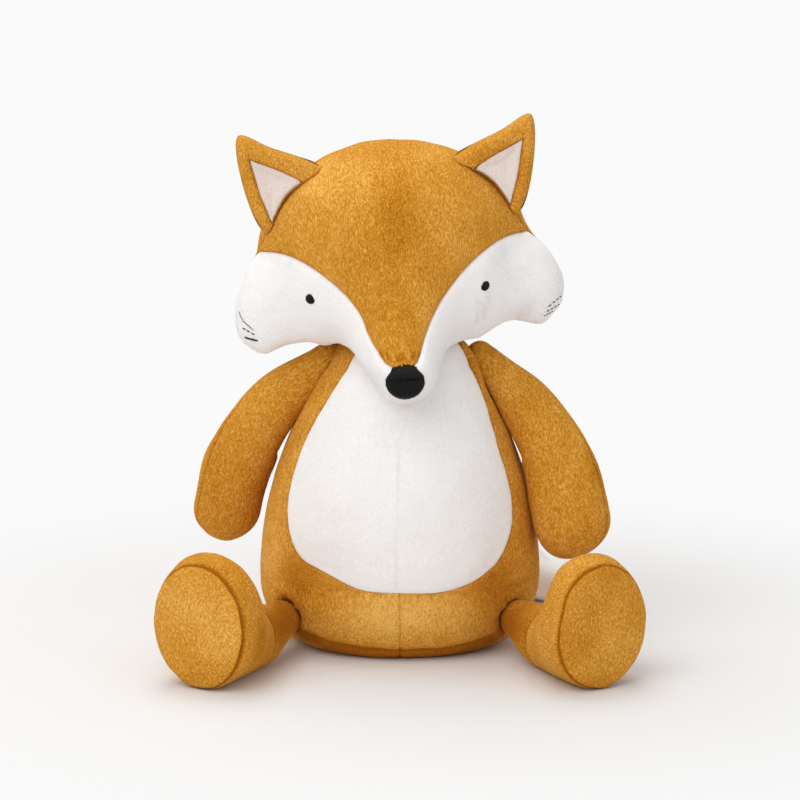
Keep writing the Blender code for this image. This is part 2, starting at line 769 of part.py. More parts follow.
def make_head(parent, socket):
    """The head's panels, stuffing and stitched face, in the frame of the head's middle."""
    around = 2 * COLUMN_CHIN
    for side_name, side in SIDES:
        def surface(row, column, depth, side=side):
            return head_surface(row, side * column, depth)

        away = Vector((side, 0, 0))
        cheek = sewn_panel(
            "cheek_" + side_name, surface, (ROW_NOSE_RING, ROW_FACE_EDGE), (CROWN_COLUMNS, COLUMN_CHIN),
            WHITE, parent, half=away, pulled=("first_column", "last_row"))
        cut(cheek, socket)
        back = sewn_panel(
            "head_back_" + side_name, surface, (ROW_FACE_EDGE, ROW_HEAD_END), (0, COLUMN_CHIN),
            MUSTARD, parent, half=away, pulled=("first_row",))
        cut(back, socket)
        eye = face_point(side * EYE_SPREAD / 2, EYE_DROP, 0)
        pad_on_head(
            "eye_" + side_name, eye.normalized(), EYE_SIZE / 2, EYE_SIZE / 2, EYE_THICKNESS, parent)
        bpy.context.view_layer.update()
        for number, (start, end) in enumerate(WHISKER_PLACES, 1):
            make_whisker("whisker_%s_%d" % (side_name, number), side, start, end, cheek, parent)
    sewn_panel(
        "crown_gusset", head_surface, (ROW_NOSE_RING, ROW_FACE_EDGE), (-CROWN_COLUMNS, CROWN_COLUMNS),
        MUSTARD, parent, pulled=("first_column", "last_column", "last_row"))
    filling = stuffing("head_stuffing", head_filling, ROW_HEAD_END, around, FIBRE, parent)
    cut(filling, socket)
    nose = MUZZLE_AXIS * math.cos(NOSE_DROP_ANGLE) - MUZZLE_UP * math.sin(NOSE_DROP_ANGLE)
    pad_on_head("nose", nose, NOSE_WIDTH / 2, NOSE_HEIGHT / 2, NOSE_THICKNESS, parent)


# Ears

ROW_EAR_RIM = 2
OUTER_SIDE_FIRST, OUTER_SIDE_LAST = 3, 5
TOP_SIDE_FIRST, TOP_SIDE_LAST = 7, 10
EAR_COLUMN_STEP_SHARE = 1 / EAR_COLUMNS


def ear_outline(share):
    """The ear's closed outline in its own plane: across its base, and up."""
    count = len(EAR_OUTLINE_SHARES)
    place_on = (share % 1) * count
    k = int(place_on)
    around = [EAR_OUTLINE_SHARES[(k + step) % count] for step in (-1, 0, 1, 2)]
    across, up = blend_curve(around, (1 + place_on - k) / 3)
    return across * EAR_BASE, up * EAR_HEIGHT


def lining_share(across, up):
    """How far toward a point of the outline the lining reaches, with its sides parallel to the ear's."""
    centre = Vector((0, EAR_HEIGHT * EAR_CENTRE_SHARE))
    toward = Vector((across, up)) - centre
    found = LINING_REACH_SHARE
    for first, last, width in ((OUTER_SIDE_FIRST, OUTER_SIDE_LAST, RIM_OUTER_WIDTH),
                               (TOP_SIDE_FIRST, TOP_SIDE_LAST, RIM_TOP_WIDTH)):
        corners = [EAR_OUTLINE_SHARES[place] for place in (first, last)]
        start, end = [Vector((x * EAR_BASE, z * EAR_HEIGHT)) for x, z in corners]
        inward = Vector((start.y - end.y, end.x - start.x)).normalized()
        closing = -toward.dot(inward)
        if closing > 0:
            found = min(found, ((centre - start).dot(inward) - width) / closing)
    return found


def front_ring(ring, share):
    """A ring of the ear's front, where the lining reaches a share of the way out."""
    edge = EAR_RING_SHARES[ROW_EAR_RIM]
    if ring < edge:
        return ring * share / edge
    return share + (1 - share) * (ring - edge) / (1 - edge)


def ear_half(row, front):
    """Half the ear's thickness at a ring, less where the lining dips in its rim."""
    ring = EAR_RING_SHARES[row]
    past_rim = max(ring - EAR_RING_SHARES[ROW_EAR_RIM + 1], 0) / (1 - EAR_RING_SHARES[ROW_EAR_RIM + 1])
    half = EAR_THICKNESS / 2 * (1 - (1 - EAR_EDGE_SHARE) * past_rim)
    if front and row < ROW_EAR_RIM:
        half *= LINING_DIP_SHARE
    return half


def clear_of_head(point, frame, upward):
    """A point of the ear, lifted along the ear until it clears the head."""
    lifted = 0
    while head_distance(frame @ (point + upward * lifted)) < EAR_GAP and lifted < EAR_HEIGHT:
        lifted += SOLVE_STEP
    return point + upward * lifted


def ear_seat():
    """The middle of the right ear's base, a little way into the head."""
    upright = math.cos(EAR_FORWARD_ANGLE)
    side, rise = upright * math.sin(EAR_SIDE_ANGLE), upright * math.cos(EAR_SIDE_ANGLE)
    toward = Vector((side, -math.sin(EAR_FORWARD_ANGLE), rise))
    return head_along(toward, EAR_SEAT_DEPTH)


def make_ear(side_name, side, head):
    """One ear: fabric back, fabric rim, and the lining set in the rim."""
    seat = ear_seat()
    seat.x *= side
    frame = Matrix.Translation(seat) @ Matrix.Rotation(side * EAR_LEAN, 4, "Y")
    pivot = frame_empty("ear_pivot_" + side_name, frame, head)
    upward = Vector((0, 0, 1))
    pieces = (
        ("ear_lining_", -1, (0, ROW_EAR_RIM), WHITE, ("last_row",)),
        ("ear_rim_", -1, (ROW_EAR_RIM, len(EAR_RING_SHARES) - 1), MUSTARD, ("first_row",)),
        ("ear_back_", 1, (0, len(EAR_RING_SHARES) - 1), MUSTARD, ()),
    )
    for name, facing, rows, colour, pulled in pieces:
        def surface(row, column, depth, facing=facing):
            low = min(int(row), len(EAR_RING_SHARES) - 2)
            part = row - low
            ring = EAR_RING_SHARES[low] + (EAR_RING_SHARES[low + 1] - EAR_RING_SHARES[low]) * part
            half = ear_half(low, facing < 0)
            half += (ear_half(low + 1, facing < 0) - half) * part
            across, up = ear_outline(column * EAR_COLUMN_STEP_SHARE)
            if facing < 0:
                ring = front_ring(ring, lining_share(across, up))
                up -= EAR_FOOT_DROP * min(max(1 - up / (EAR_HEIGHT * EAR_FOOT_HEIGHT_SHARE), 0), 1)
            centre = EAR_HEIGHT * EAR_CENTRE_SHARE
            out = SEAM_GAP / 2 if depth else half
            spot = Vector((side * across * ring, facing * out, centre + (up - centre) * ring))
            return clear_of_head(spot, frame, upward)

        sewn_panel(name + side_name, surface, rows, (0, EAR_COLUMNS), colour, pivot, pulled=pulled)


# Limbs and tail

def stuffed_limb(path, halves, root_reach, tip_reach, broad, body_rows, column_count):
    """The surface of a round-ended limb along a path.

    halves gives the half width across the limb and along broad at each point of the path, and the
    sections stay parallel to broad. Rows run from the root's tip over its cap, the body and the
    end's cap. Column 0 lies across the limb.
    """
    def surface(row, column, depth):
        body = min(max((row - CAP_ROWS) / body_rows, 0), 1)
        root = min(max(1 - row / CAP_ROWS, 0), 1) * math.pi / 2
        tip = min(max((row - CAP_ROWS - body_rows) / CAP_ROWS, 0), 1) * math.pi / 2
        centre = Vector(blend_curve(path, body))
        ahead = Vector(blend_curve(path, body + STEP_SHARE)) - Vector(blend_curve(path, body - STEP_SHARE))
        ahead = (ahead - broad * ahead.dot(broad)).normalized()
        across = ahead.cross(broad)
        half_across, half_broad = blend_curve(halves, body)
        centre -= ahead * (root_reach - depth) * math.sin(root)
        centre += ahead * (tip_reach - depth) * math.sin(tip)
        size = math.cos(root) * math.cos(tip)
        turn = math.tau * column / column_count
        return (centre + across * (half_across - depth) * size * math.cos(turn)
                + broad * (half_broad - depth) * size * math.sin(turn))
    return surface


def on_floor(point, floor, depth):
    """A point pressed flat where the floor, at a height in the limb's frame, bears on it."""
    point.z = max(point.z, floor + depth)
    return point


def make_arm(side_name, side):
    """An arm of a front and a back panel, seamed along its outer and inner sides, and stuffed."""
    normal = Vector((side * SHOULDER_NORMAL.x, 0, SHOULDER_NORMAL.z))
    backward = Vector((0, side, 0))
    turn = Matrix((normal, backward, normal.cross(backward))).transposed().to_4x4()
    swing = ARM_SWING_LEFT if side < 0 else ARM_SWING_RIGHT
    origin = Vector((side * SHOULDER_POINT.x, 0, SHOULDER_POINT.z))
    frame = Matrix.Translation(origin) @ turn @ Matrix.Rotation(-side * swing, 4, "X")
    pivot = frame_empty("shoulder_pivot_" + side_name, frame)
    path = [(out, 0, -down) for out, down in ARM_PATH]
    halves = [(radius, radius * ARM_FLATNESS_SHARE) for radius in ARM_RADII]
    round_arm = stuffed_limb(
        path, halves, ARM_RADII[0], ARM_RADII[-1], Vector((0, 1, 0)), ARM_ROWS, ARM_COLUMNS)

    def surface(row, column, depth):
        """The arm, flat where its root lies on the torso."""
        found = round_arm(row, column, depth)
        if -found.z < ARM_FLAT_LENGTH:
            found.x = max(found.x, SEAT_GAP + depth)
        return found

    rows = (0, 2 * CAP_ROWS + ARM_ROWS)
    half = ARM_COLUMNS // 2
    first, second = ("front", "back") if side < 0 else ("back", "front")
    sewn_panel(
        "arm_%s_%s" % (side_name, first), surface, rows, (0, half), MUSTARD, pivot,
        half=Vector((0, 1, 0)))
    sewn_panel(
        "arm_%s_%s" % (side_name, second), surface, rows, (half, 2 * half), MUSTARD, pivot,
        half=Vector((0, -1, 0)))
    stuffing("arm_%s_stuffing" % side_name, surface, rows[1], ARM_COLUMNS, FIBRE, pivot)


def hip_centre():
    """The right leg's root, a ball that stands off the torso along its normal."""
    half_width, half_depth = torso_axes(HIP_HEIGHT)
    away = Vector((math.sin(HIP_ANGLE), -math.cos(HIP_ANGLE), 0))
    spread = math.hypot(half_width * away.x, half_depth * away.y)
    on_torso = Vector((half_width**2 * away.x / spread, half_depth**2 * away.y / spread, HIP_HEIGHT))
    return on_torso + away * HIP_STANDOFF


def leg_station(share, growth, taper):
    """A place along the leg, and its half sizes, from the root's over the tube's to the foot's."""
    radius = LEG_RADIUS + (HIP_RADIUS - LEG_RADIUS) * taper
    half_across = radius + (FOOT_WIDTH / 2 - LEG_RADIUS) * growth
    half_up = radius + (FOOT_HEIGHT / 2 - LEG_RADIUS) * growth
    height = (half_up - FLOOR_FLAT - HIP_HEIGHT) * (1 - taper)
    return (0, -LEG_LENGTH * share, height), (half_across, half_up)


def make_leg(side_name, side, root):
    """A leg of a tube, a foot and a sole, and its stuffing, which lies on the floor."""
    frame = Matrix.Translation(root) @ Matrix.Rotation(side * LEG_SPLAY, 4, "Z")
    pivot = frame_empty("hip_pivot_" + side_name, frame)
    count = 2 * LEG_ROWS
    shares = [k / count for k in range(count + 1)]
    stations = [
        leg_station(share, value_at(LEG_GROWTH_SHARES, share), value_at(LEG_TAPER_SHARES, share))
        for share in shares]
    path = [station[0] for station in stations]
    halves = [station[1] for station in stations]
    round_leg = stuffed_limb(
        path, halves, HIP_RADIUS, SOLE_CROWN, Vector((0, 0, 1)), LEG_ROWS, LEG_COLUMNS)

    def surface(row, column, depth):
        return on_floor(round_leg(row, column, depth), -root.z, depth)

    ankle = CAP_ROWS + LEG_ROWS // 2
    rim = CAP_ROWS + LEG_ROWS
    parts = (
        ("tube", (0, ankle), ("last_row",)),
        ("foot", (ankle, rim), ("first_row", "last_row")),
        ("sole", (rim, rim + CAP_ROWS), ("first_row",)),
    )
    leg = "leg_%s_" % side_name
    for name, rows, pulled in parts:
        sewn_panel(leg + name, surface, rows, (0, LEG_COLUMNS), MUSTARD, pivot, pulled=pulled)
    stuffing(leg + "stuffing", surface, rim + CAP_ROWS, LEG_COLUMNS, FIBRE, pivot)


def tail_root():
    return Vector((0, torso_axes(TAIL_ROOT_HEIGHT)[1] + TAIL_STANDOFF, TAIL_ROOT_HEIGHT))


def make_tail(root):
    """The tail curls round on the floor to the viewer's right and ends in a white tip."""
    pivot = frame_empty("tail_pivot", Matrix.Translation(root))
    radii = [TAIL_RADIUS * share for share in TAIL_GIRTH_SHARES]
    path = []
    for (across, back), radius in zip(TAIL_PATH_SHARES, radii):
        height = max(radius - FLOOR_FLAT, 0) - root.z if path else 0
        path.append((TAIL_REACH * across, TAIL_SWEEP * back, height))
    halves = [(radius, radius) for radius in radii]
    round_tail = stuffed_limb(
        path, halves, radii[0], TAIL_TIP_LENGTH, Vector((0, 0, 1)), TAIL_ROWS, TAIL_COLUMNS)

    def surface(row, column, depth):
        return on_floor(round_tail(row, column, depth), -root.z, depth)

    seam = CAP_ROWS + TAIL_ROWS - 1
    last = 2 * CAP_ROWS + TAIL_ROWS
    parts = (
        ("tail_base", (0, seam), MUSTARD, ("last_row",)),
        ("tail_tip", (seam, last), WHITE, ("first_row",)),
    )
    for name, rows, colour, pulled in parts:
        sewn_panel(name, surface, rows, (0, TAIL_COLUMNS), colour, pivot, pulled=pulled)
    stuffing("tail_stuffing", surface, last, TAIL_COLUMNS, FIBRE, pivot)


def main():
    clear_scene()
    new_collection(COLLECTION)
    new_collection(CUTTERS)
    torso = make_torso()
    neck = Vector((0, 0, NECK_HEIGHT))
    make_neck_wad(frame_empty("neck_pivot", Matrix.Translation(neck)))
    tilt = Matrix.Rotation(HEAD_TURN, 4, "Z") @ Matrix.Rotation(-HEAD_ROLL, 4, "Y")
    head_pivot = frame_empty("head_pivot", Matrix.Translation(neck) @ tilt)
    head = frame_empty("head_middle", Matrix.Translation(-HEAD_PIVOT), head_pivot)
    make_head(head, ball_cutter("neck_hollow", neck, SOCKET_RADIUS))
    tail = tail_root()
    tail_ball = ball_cutter("tail_hollow", tail, TAIL_RADIUS * TAIL_GIRTH_SHARES[0] + JOINT_GAP)
    make_tail(tail)
    cut(torso["torso_stuffing"], tail_ball)
    for side_name, side in SIDES:
        make_ear(side_name, side, head)
        make_arm(side_name, side)
        root = hip_centre()
        root.x *= side
        ball = ball_cutter("hip_hollow_" + side_name, root, HIP_RADIUS + JOINT_GAP)
        cut(torso["front_" + side_name], ball)
        cut(torso["torso_stuffing"], ball)
        cut(torso["back_" + side_name], tail_ball)
        make_leg(side_name, side, root)


main()
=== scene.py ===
"""Looks of the seated plush fox: short pile fabric panels, stitched face, floor, light and camera.

Each panel follows the same lattice of rows and columns as its CAD solid, at a finer step, and is
shaped further: rolled seams, gathers, creases and lumps of stuffing. Lengths are metres.
"""

import math

import bmesh
import bpy
import numpy as np
from mathutils import Matrix, Vector, noise
from mathutils.bvhtree import BVHTree


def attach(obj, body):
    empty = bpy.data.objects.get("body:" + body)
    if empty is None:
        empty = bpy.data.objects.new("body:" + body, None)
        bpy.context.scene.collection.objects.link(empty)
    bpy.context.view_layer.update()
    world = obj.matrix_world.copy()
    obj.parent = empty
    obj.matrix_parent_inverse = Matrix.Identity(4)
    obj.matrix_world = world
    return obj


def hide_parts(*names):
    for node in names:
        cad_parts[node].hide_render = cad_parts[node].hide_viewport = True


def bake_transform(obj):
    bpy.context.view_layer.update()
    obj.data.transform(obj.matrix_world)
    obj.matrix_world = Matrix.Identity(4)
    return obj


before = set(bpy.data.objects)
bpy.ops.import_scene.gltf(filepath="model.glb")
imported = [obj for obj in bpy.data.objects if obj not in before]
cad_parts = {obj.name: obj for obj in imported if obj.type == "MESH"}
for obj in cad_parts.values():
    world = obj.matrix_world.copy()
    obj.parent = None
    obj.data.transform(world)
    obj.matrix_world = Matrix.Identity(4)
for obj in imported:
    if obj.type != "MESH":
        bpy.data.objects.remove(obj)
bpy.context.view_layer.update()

FINE = 1.0

# Camera, as the photograph was taken: 800 pixels square
PHOTO_SIZE = 800
PHOTO_FOCUS = 2645.0
CAMERA_DISTANCE = 1.5
CAMERA_PITCH = math.radians(10)
CAMERA_TARGET = np.array((0.0, 0.0, 0.1385))
SENSOR = 36.0

# Sizes shared with the CAD
SEAM_GAP = 0.0006
SEAT_GAP = 0.0003
JOINT_GAP = 0.0006

TORSO_WIDTH = 0.160
TORSO_DEPTH = 0.131
TORSO_SWELL_SHARE = 0.86
BASE_WIDTH = 0.104
WIDEST_HEIGHT = 0.040
SHOULDER_LINE_HEIGHT = 0.160
BELLY_WIDE_HEIGHT = 0.100
BELLY_LOW_HEIGHT = 0.0405
BELLY_ANGLE = math.radians(60)
BELLY_TOP_ANGLE = math.radians(59)
BELLY_ROUND_SHARE = 0.8
BELLY_SWAY = math.radians(16)
ROW_SWAY_FIRST = 2.5
ROW_SWAY_LAST = 7.2
SIDE_ANGLE = math.radians(90)
NECK_HEIGHT = 0.145
NECK_RADIUS = 0.044
NECK_OPENING_RADIUS = 0.018
WAD_THICKNESS = 0.0044

HEAD_RISE = 0.079
HEAD_OFFSET = 0.002
HEAD_ROLL = math.radians(4.2)
HEAD_TURN = math.radians(1.5)
SKULL_HALF = np.array((0.152, 0.118, 0.124)) / 2
SKULL_DROP = 0.0565
CHEEK_REACH = 0.0770
CHEEK_FORWARD = 0.014
CHEEK_TOP_DROP = 0.012
CHEEK_LOW_DROP = 0.0355
CHEEK_RADIUS = 0.0125
JAW_REACH = 0.046
JAW_DROP = 0.022
JAW_RADIUS = 0.027
MUZZLE_FORWARD = 0.0610
MUZZLE_DROP = 0.0575
MUZZLE_RADIUS = 0.0195
MUZZLE_ROOT_FORWARD = 0.026
MUZZLE_ROOT_DROP = 0.020
MUZZLE_ROOT_RADIUS = 0.0395
HEAD_BLEND = 0.016
RAY_REACH = 0.160
HALVINGS = 20
NOSE_RING_ANGLE = math.radians(2.0)
CROWN_ANGLE = math.radians(57)
CROWN_SPREAD = math.radians(23.5)
CROWN_NARROW_SHARE = 0.29
CHEEK_EDGE_ANGLE = math.radians(85.5)
CROWN_EDGE_ANGLE = math.radians(140)
NOSE_ROW_SHARE = 1.3
NOSE_DROP_ANGLE = math.radians(3.0)

EAR_BASE = 0.049
EAR_HEIGHT = 0.043
EAR_THICKNESS = 0.0110
EAR_SIDE_ANGLE = math.radians(56.8)
EAR_FORWARD_ANGLE = math.radians(15.2)
EAR_SEAT_DEPTH = 0.0011
EAR_LEAN = math.radians(44.4)
EAR_CENTRE_SHARE = 0.30
EAR_OUTLINE_SHARES = (
    (0.00, 0.08),
    (0.28, 0.03),
    (0.47, -0.04),
    (0.45, 0.13),
    (0.30, 0.45),
    (0.08, 0.80),
    (-0.10, 0.99),
    (-0.19, 0.93),
    (-0.27, 0.62),
    (-0.39, 0.30),
    (-0.48, 0.05),
    (-0.46, -0.05),
    (-0.26, 0.04),
)
LINING_SHARE = 0.50
EAR_FOOT_DROP = 0.0034
EAR_FOOT_HEIGHT_SHARE = 0.26
LINING_REACH_SHARE = 0.95
# Sides of the rim: first and last point of the outline, and its width
RIM_SIDES = ((3, 5, 0.0068), (7, 10, 0.0112))

SHOULDER_HEIGHT = 0.145
SHOULDER_FLAT = 0.0012
ARM_PATH = ((0.0040, -0.0150), (0.0132, 0.0110), (0.0170, 0.0370), (0.0165, 0.0630), (0.0105, 0.0880))
ARM_RADII = (0.0095, 0.0155, 0.0180, 0.0196, 0.0192)
ARM_FLATNESS_SHARE = 0.90
ARM_FLAT_LENGTH = 0.045
ARM_SWING = {"left": math.radians(-10), "right": math.radians(14)}

LEG_RADIUS = 0.0200
LEG_LENGTH = 0.0805
LEG_SPLAY = math.radians(30.5)
HIP_ANGLE = math.radians(50)
HIP_STANDOFF = 0.005
HIP_RADIUS = 0.0108
HIP_HEIGHT = 0.0205
FOOT_WIDTH = 0.062
FOOT_HEIGHT = 0.073
SOLE_CROWN = 0.0045
FLOOR_FLAT = 0.0005
LEG_GROWTH_SHARES = (
    (0.0, 0.0),
    (0.25, 0.0),
    (0.46, 0.02),
    (0.60, 0.32),
    (0.71, 0.76),
    (0.84, 1.0),
    (1.0, 0.90),
)
LEG_TAPER_SHARES = (
    (0.0, 1.0),
    (0.16, 0.66),
    (0.32, 0.20),
    (0.46, 0.0),
    (1.0, 0.0),
)

TAIL_ROOT_HEIGHT = 0.026
TAIL_STANDOFF = 0.006
TAIL_REACH = 0.086
TAIL_SWEEP = 0.048
TAIL_RADIUS = 0.021
TAIL_TIP_LENGTH = 0.024
TAIL_PATH_SHARES = ((0.0, 0.0), (0.12, 0.50), (0.42, 0.95), (0.76, 0.86), (1.0, 0.36))
TAIL_GIRTH_SHARES = (0.66, 0.84, 1.0, 0.92, 0.60)

# Lattice rows and columns, as the CAD counts them
ROW_OPENING = 1
ROW_SHOULDER = 4
ROW_BELLY_WIDE = 8
ROW_BELLY_LOW = 13
ROW_RIM = 17
BELLY_COLUMNS = 3
COLUMN_SIDE = 7
COLUMN_BACK = 13
ROW_NOSE_RING = 1
HEAD_FACE_ROWS = 12
ROW_FACE_EDGE = 13
HEAD_BACK_ROWS = 5
ROW_HEAD_END = 18
CROWN_COLUMNS = 4
CHEEK_COLUMNS = 12
COLUMN_CHIN = 16
CAP_ROWS = 3
ARM_ROWS = 5
ARM_COLUMNS = 14
LEG_ROWS = 7
LEG_PATH_STEPS = 14
LEG_COLUMNS = 14
TAIL_ROWS = 7
TAIL_COLUMNS = 12

# Seams and pile
SEAM_DEPTH = 0.0017
SEAM_WIDTH = 0.0052
# SEAM_LINE_WIDTH is the width of the painted shade along each seam's line
SEAM_LINE_WIDTH = 0.0011
SKIRT_DEPTHS = (0.0030, 0.0048)
SEAM_PULL = 0.62
PUCKER = 0.38
PUCKER_SIZE = 0.0075
SEAM_EASE = 0.010
LUMP = 0.0006
# Lumps of the stuffing: share of that height, size and seed
LUMPS = ((0.75, 0.026, 1.0), (0.45, 0.010, 2.0))

# A small step along a lattice, for slopes, and how noise is spread
STEP = 0.01
GRAIN_SEED_STEP = 17.3
GRAIN_GAIN = 1.6

SIDES = (("left", -1), ("right", 1))


# Left and right are those of the photograph, here and in the names of pieces

# Small vector helpers, all on arrays of points

def vec(*parts):
    """Points from their coordinates, which may be arrays of one shape."""
    return np.stack(np.broadcast_arrays(*[np.asarray(p, float) for p in parts]), axis=-1)


def unit(v):
    return v / np.maximum(np.linalg.norm(v, axis=-1, keepdims=True), 1e-12)


def dot(a, b):
    return (a * b).sum(axis=-1)


def moved(points, matrix):
    m = np.array(matrix)
    return points @ m[:3, :3].T + m[:3, 3]


def fade(x, low, high):
    """0 below low, 1 above high, smooth between."""
    t = np.clip((x - low) / (high - low), 0, 1)
    return t * t * (3 - 2 * t)


def grain(points, size, seed=0.0):
    """Smooth noise from about -1 to 1, with lumps of a size."""
    flat = np.asarray(points, float).reshape(-1, 3) / size + seed * GRAIN_SEED_STEP
    values = [noise.noise(Vector(p)) for p in flat]
    return np.array(values).reshape(np.shape(points)[:-1]) * GRAIN_GAIN


def spline(before, start, end, after, t):
    """The smooth curve from start to end, at t from 0 to 1, that goes on to the points beside them."""
    first_slope = (end - before) / 2
    last_slope = (after - start) / 2
    cube = 2 * start - 2 * end + first_slope + last_slope
    square = 3 * end - 3 * start - 2 * first_slope - last_slope
    return cube * t**3 + square * t**2 + first_slope * t + start


def curve_at(points, share):
    """A smooth curve through points, at shares from 0 to 1 along their order."""
    points = np.asarray(points, float)
    last = len(points) - 1
    at = np.clip(np.asarray(share, float), 0, 1) * last
    k = np.minimum(at.astype(int), last - 1)
    before, after = points[np.maximum(k - 1, 0)], points[np.minimum(k + 2, last)]
    return spline(before, points[k], points[k + 1], after, (at - k)[..., None])


def value_at(table, share):
    """A smooth value from a table of (share, value)."""
    table = np.asarray(table, float)
    share = np.asarray(share, float)
    k = np.clip(np.searchsorted(table[:, 0], share, side="left") - 1, 0, len(table) - 2)
    t = np.clip((share - table[k, 0]) / (table[k + 1, 0] - table[k, 0]), 0, 1)
    return curve_at(table[:, 1:], (k + t) / (len(table) - 1))[..., 0]


# The photograph's camera

CAMERA_FORWARD = np.array((0.0, math.cos(CAMERA_PITCH), -math.sin(CAMERA_PITCH)))
CAMERA_UP = np.array((0.0, math.sin(CAMERA_PITCH), math.cos(CAMERA_PITCH)))
CAMERA_RIGHT = np.array((1.0, 0.0, 0.0))
CAMERA_PLACE = CAMERA_TARGET - CAMERA_FORWARD * CAMERA_DISTANCE


def in_photo(points):
    """Pixel coordinates of points in the photograph."""
    away = points - CAMERA_PLACE
    depth = dot(away, CAMERA_FORWARD)
    across = PHOTO_SIZE / 2 + PHOTO_FOCUS * dot(away, CAMERA_RIGHT) / depth
    down = PHOTO_SIZE / 2 - PHOTO_FOCUS * dot(away, CAMERA_UP) / depth
    return across, down


def sight(across, down):
    """The direction from the camera through a pixel."""
    way = CAMERA_FORWARD * PHOTO_FOCUS
    way = way + CAMERA_RIGHT * (across - PHOTO_SIZE / 2) - CAMERA_UP * (down - PHOTO_SIZE / 2)
    return way / np.linalg.norm(way)


def near_line(across, down, line):
    """Distance in pixels to a line of pixels, and how far along it the nearest place is."""
    best = np.full(np.shape(across), 1e9)
    along = np.zeros(np.shape(across))
    count = len(line) - 1
    for k in range(count):
        (x0, y0), (x1, y1) = line[k], line[k + 1]
        length = (x1 - x0) ** 2 + (y1 - y0) ** 2
        t = np.clip(((across - x0) * (x1 - x0) + (down - y0) * (y1 - y0)) / length, 0, 1)
        gap = np.hypot(across - x0 - t * (x1 - x0), down - y0 - t * (y1 - y0))
        closer = gap < best
        best = np.where(closer, gap, best)
        along = np.where(closer, (k + t) / count, along)
    return best, along


# Torso

DOME_EDGE_ANGLE = math.acos((SHOULDER_LINE_HEIGHT - NECK_HEIGHT) / NECK_RADIUS)
DOME_EDGE_RADIUS = NECK_RADIUS * math.sin(DOME_EDGE_ANGLE)
OPENING_ANGLE = math.asin(NECK_OPENING_RADIUS / NECK_RADIUS)


def torso_axes(height):
    """Half width and half depth of the torso under the shoulder line."""
    half_width = TORSO_WIDTH / 2
    low_drop = np.clip((WIDEST_HEIGHT - height) / WIDEST_HEIGHT, 0, 1)
    low_swell = np.sqrt(1 - low_drop**2)
    low_width = BASE_WIDTH / 2 + (half_width - BASE_WIDTH / 2) * low_swell
    drop = np.clip((SHOULDER_LINE_HEIGHT - height) / (SHOULDER_LINE_HEIGHT - WIDEST_HEIGHT), 0, 1)
    swell = np.maximum(np.sin(drop * math.pi / 2), 0) ** TORSO_SWELL_SHARE
    width = DOME_EDGE_RADIUS + (half_width - DOME_EDGE_RADIUS) * swell
    depth = width * (1 - (1 - TORSO_DEPTH / TORSO_WIDTH) * swell)
    low = height < WIDEST_HEIGHT
    return np.where(low, low_width, width), np.where(low, low_width * TORSO_DEPTH / TORSO_WIDTH, depth)


def torso_ring(row):
    """Height, half width and half depth of the torso at lattice rows."""
    row = np.asarray(row, float)
    dome_share = (row - ROW_OPENING) / (ROW_SHOULDER - ROW_OPENING)
    dome_angle = OPENING_ANGLE + (DOME_EDGE_ANGLE - OPENING_ANGLE) * dome_share
    angle = np.where(row < ROW_OPENING, OPENING_ANGLE * row, dome_angle)
    flank = (row - ROW_SHOULDER) / (ROW_BELLY_WIDE - ROW_SHOULDER)
    flank_height = SHOULDER_LINE_HEIGHT + (BELLY_WIDE_HEIGHT - SHOULDER_LINE_HEIGHT) * flank
    belly = (row - ROW_BELLY_WIDE) / (ROW_BELLY_LOW - ROW_BELLY_WIDE)
    belly_height = BELLY_WIDE_HEIGHT - (BELLY_WIDE_HEIGHT - BELLY_LOW_HEIGHT) * np.sin(belly * math.pi / 2)
    base = np.clip((row - ROW_BELLY_LOW) / (ROW_RIM - ROW_BELLY_LOW), 0, 1)
    base_height = BELLY_LOW_HEIGHT * (1 - np.sin(base * math.pi / 2))
    low_height = np.where(row <= ROW_BELLY_LOW, belly_height, base_height)
    height = np.where(row <= ROW_BELLY_WIDE, flank_height, low_height)
    half_width, half_depth = torso_axes(height)
    dome = row <= ROW_SHOULDER
    radius = NECK_RADIUS * np.sin(angle)
    return (
        np.where(dome, NECK_HEIGHT + NECK_RADIUS * np.cos(angle), height),
        np.where(dome, radius, half_width),
        np.where(dome, radius, half_depth),
    )


def belly_angle(row):
    """Where the belly's seam runs, as an angle round from the front."""
    share = np.clip(row / ROW_BELLY_WIDE, 0, 1)
    high = BELLY_TOP_ANGLE + (BELLY_ANGLE - BELLY_TOP_ANGLE) * share
    low_share = np.clip((row - ROW_BELLY_WIDE) / (ROW_BELLY_LOW - ROW_BELLY_WIDE), 0, 1)
    low = BELLY_ANGLE * np.maximum(np.cos(low_share * math.pi / 2), 0) ** BELLY_ROUND_SHARE
    return np.where(row <= ROW_BELLY_WIDE, high, low)


def belly_sway(row, column):
    """How far the belly's seams swing to the right high up, as an angle."""
    high = 1 - fade(row, ROW_SWAY_FIRST, ROW_SWAY_LAST)
    return BELLY_SWAY * high * np.clip(1 - (column - BELLY_COLUMNS) / (COLUMN_SIDE - BELLY_COLUMNS), 0, 1)


def torso_angle(row, column):
    """The angle round from the front of a lattice column, which follows the seams."""
    seam = belly_angle(row)
    belly = seam * column / BELLY_COLUMNS
    front = seam + (SIDE_ANGLE - seam) * (column - BELLY_COLUMNS) / (COLUMN_SIDE - BELLY_COLUMNS)
    back = SIDE_ANGLE + (math.pi - SIDE_ANGLE) * (column - COLUMN_SIDE) / (COLUMN_BACK - COLUMN_SIDE)
    return np.where(column <= BELLY_COLUMNS, belly, np.where(column <= COLUMN_SIDE, front, back))


def torso_point(row, angle):
    height, half_width, half_depth = torso_ring(row)
    return vec(half_width * np.sin(angle), -half_depth * np.cos(angle), height)


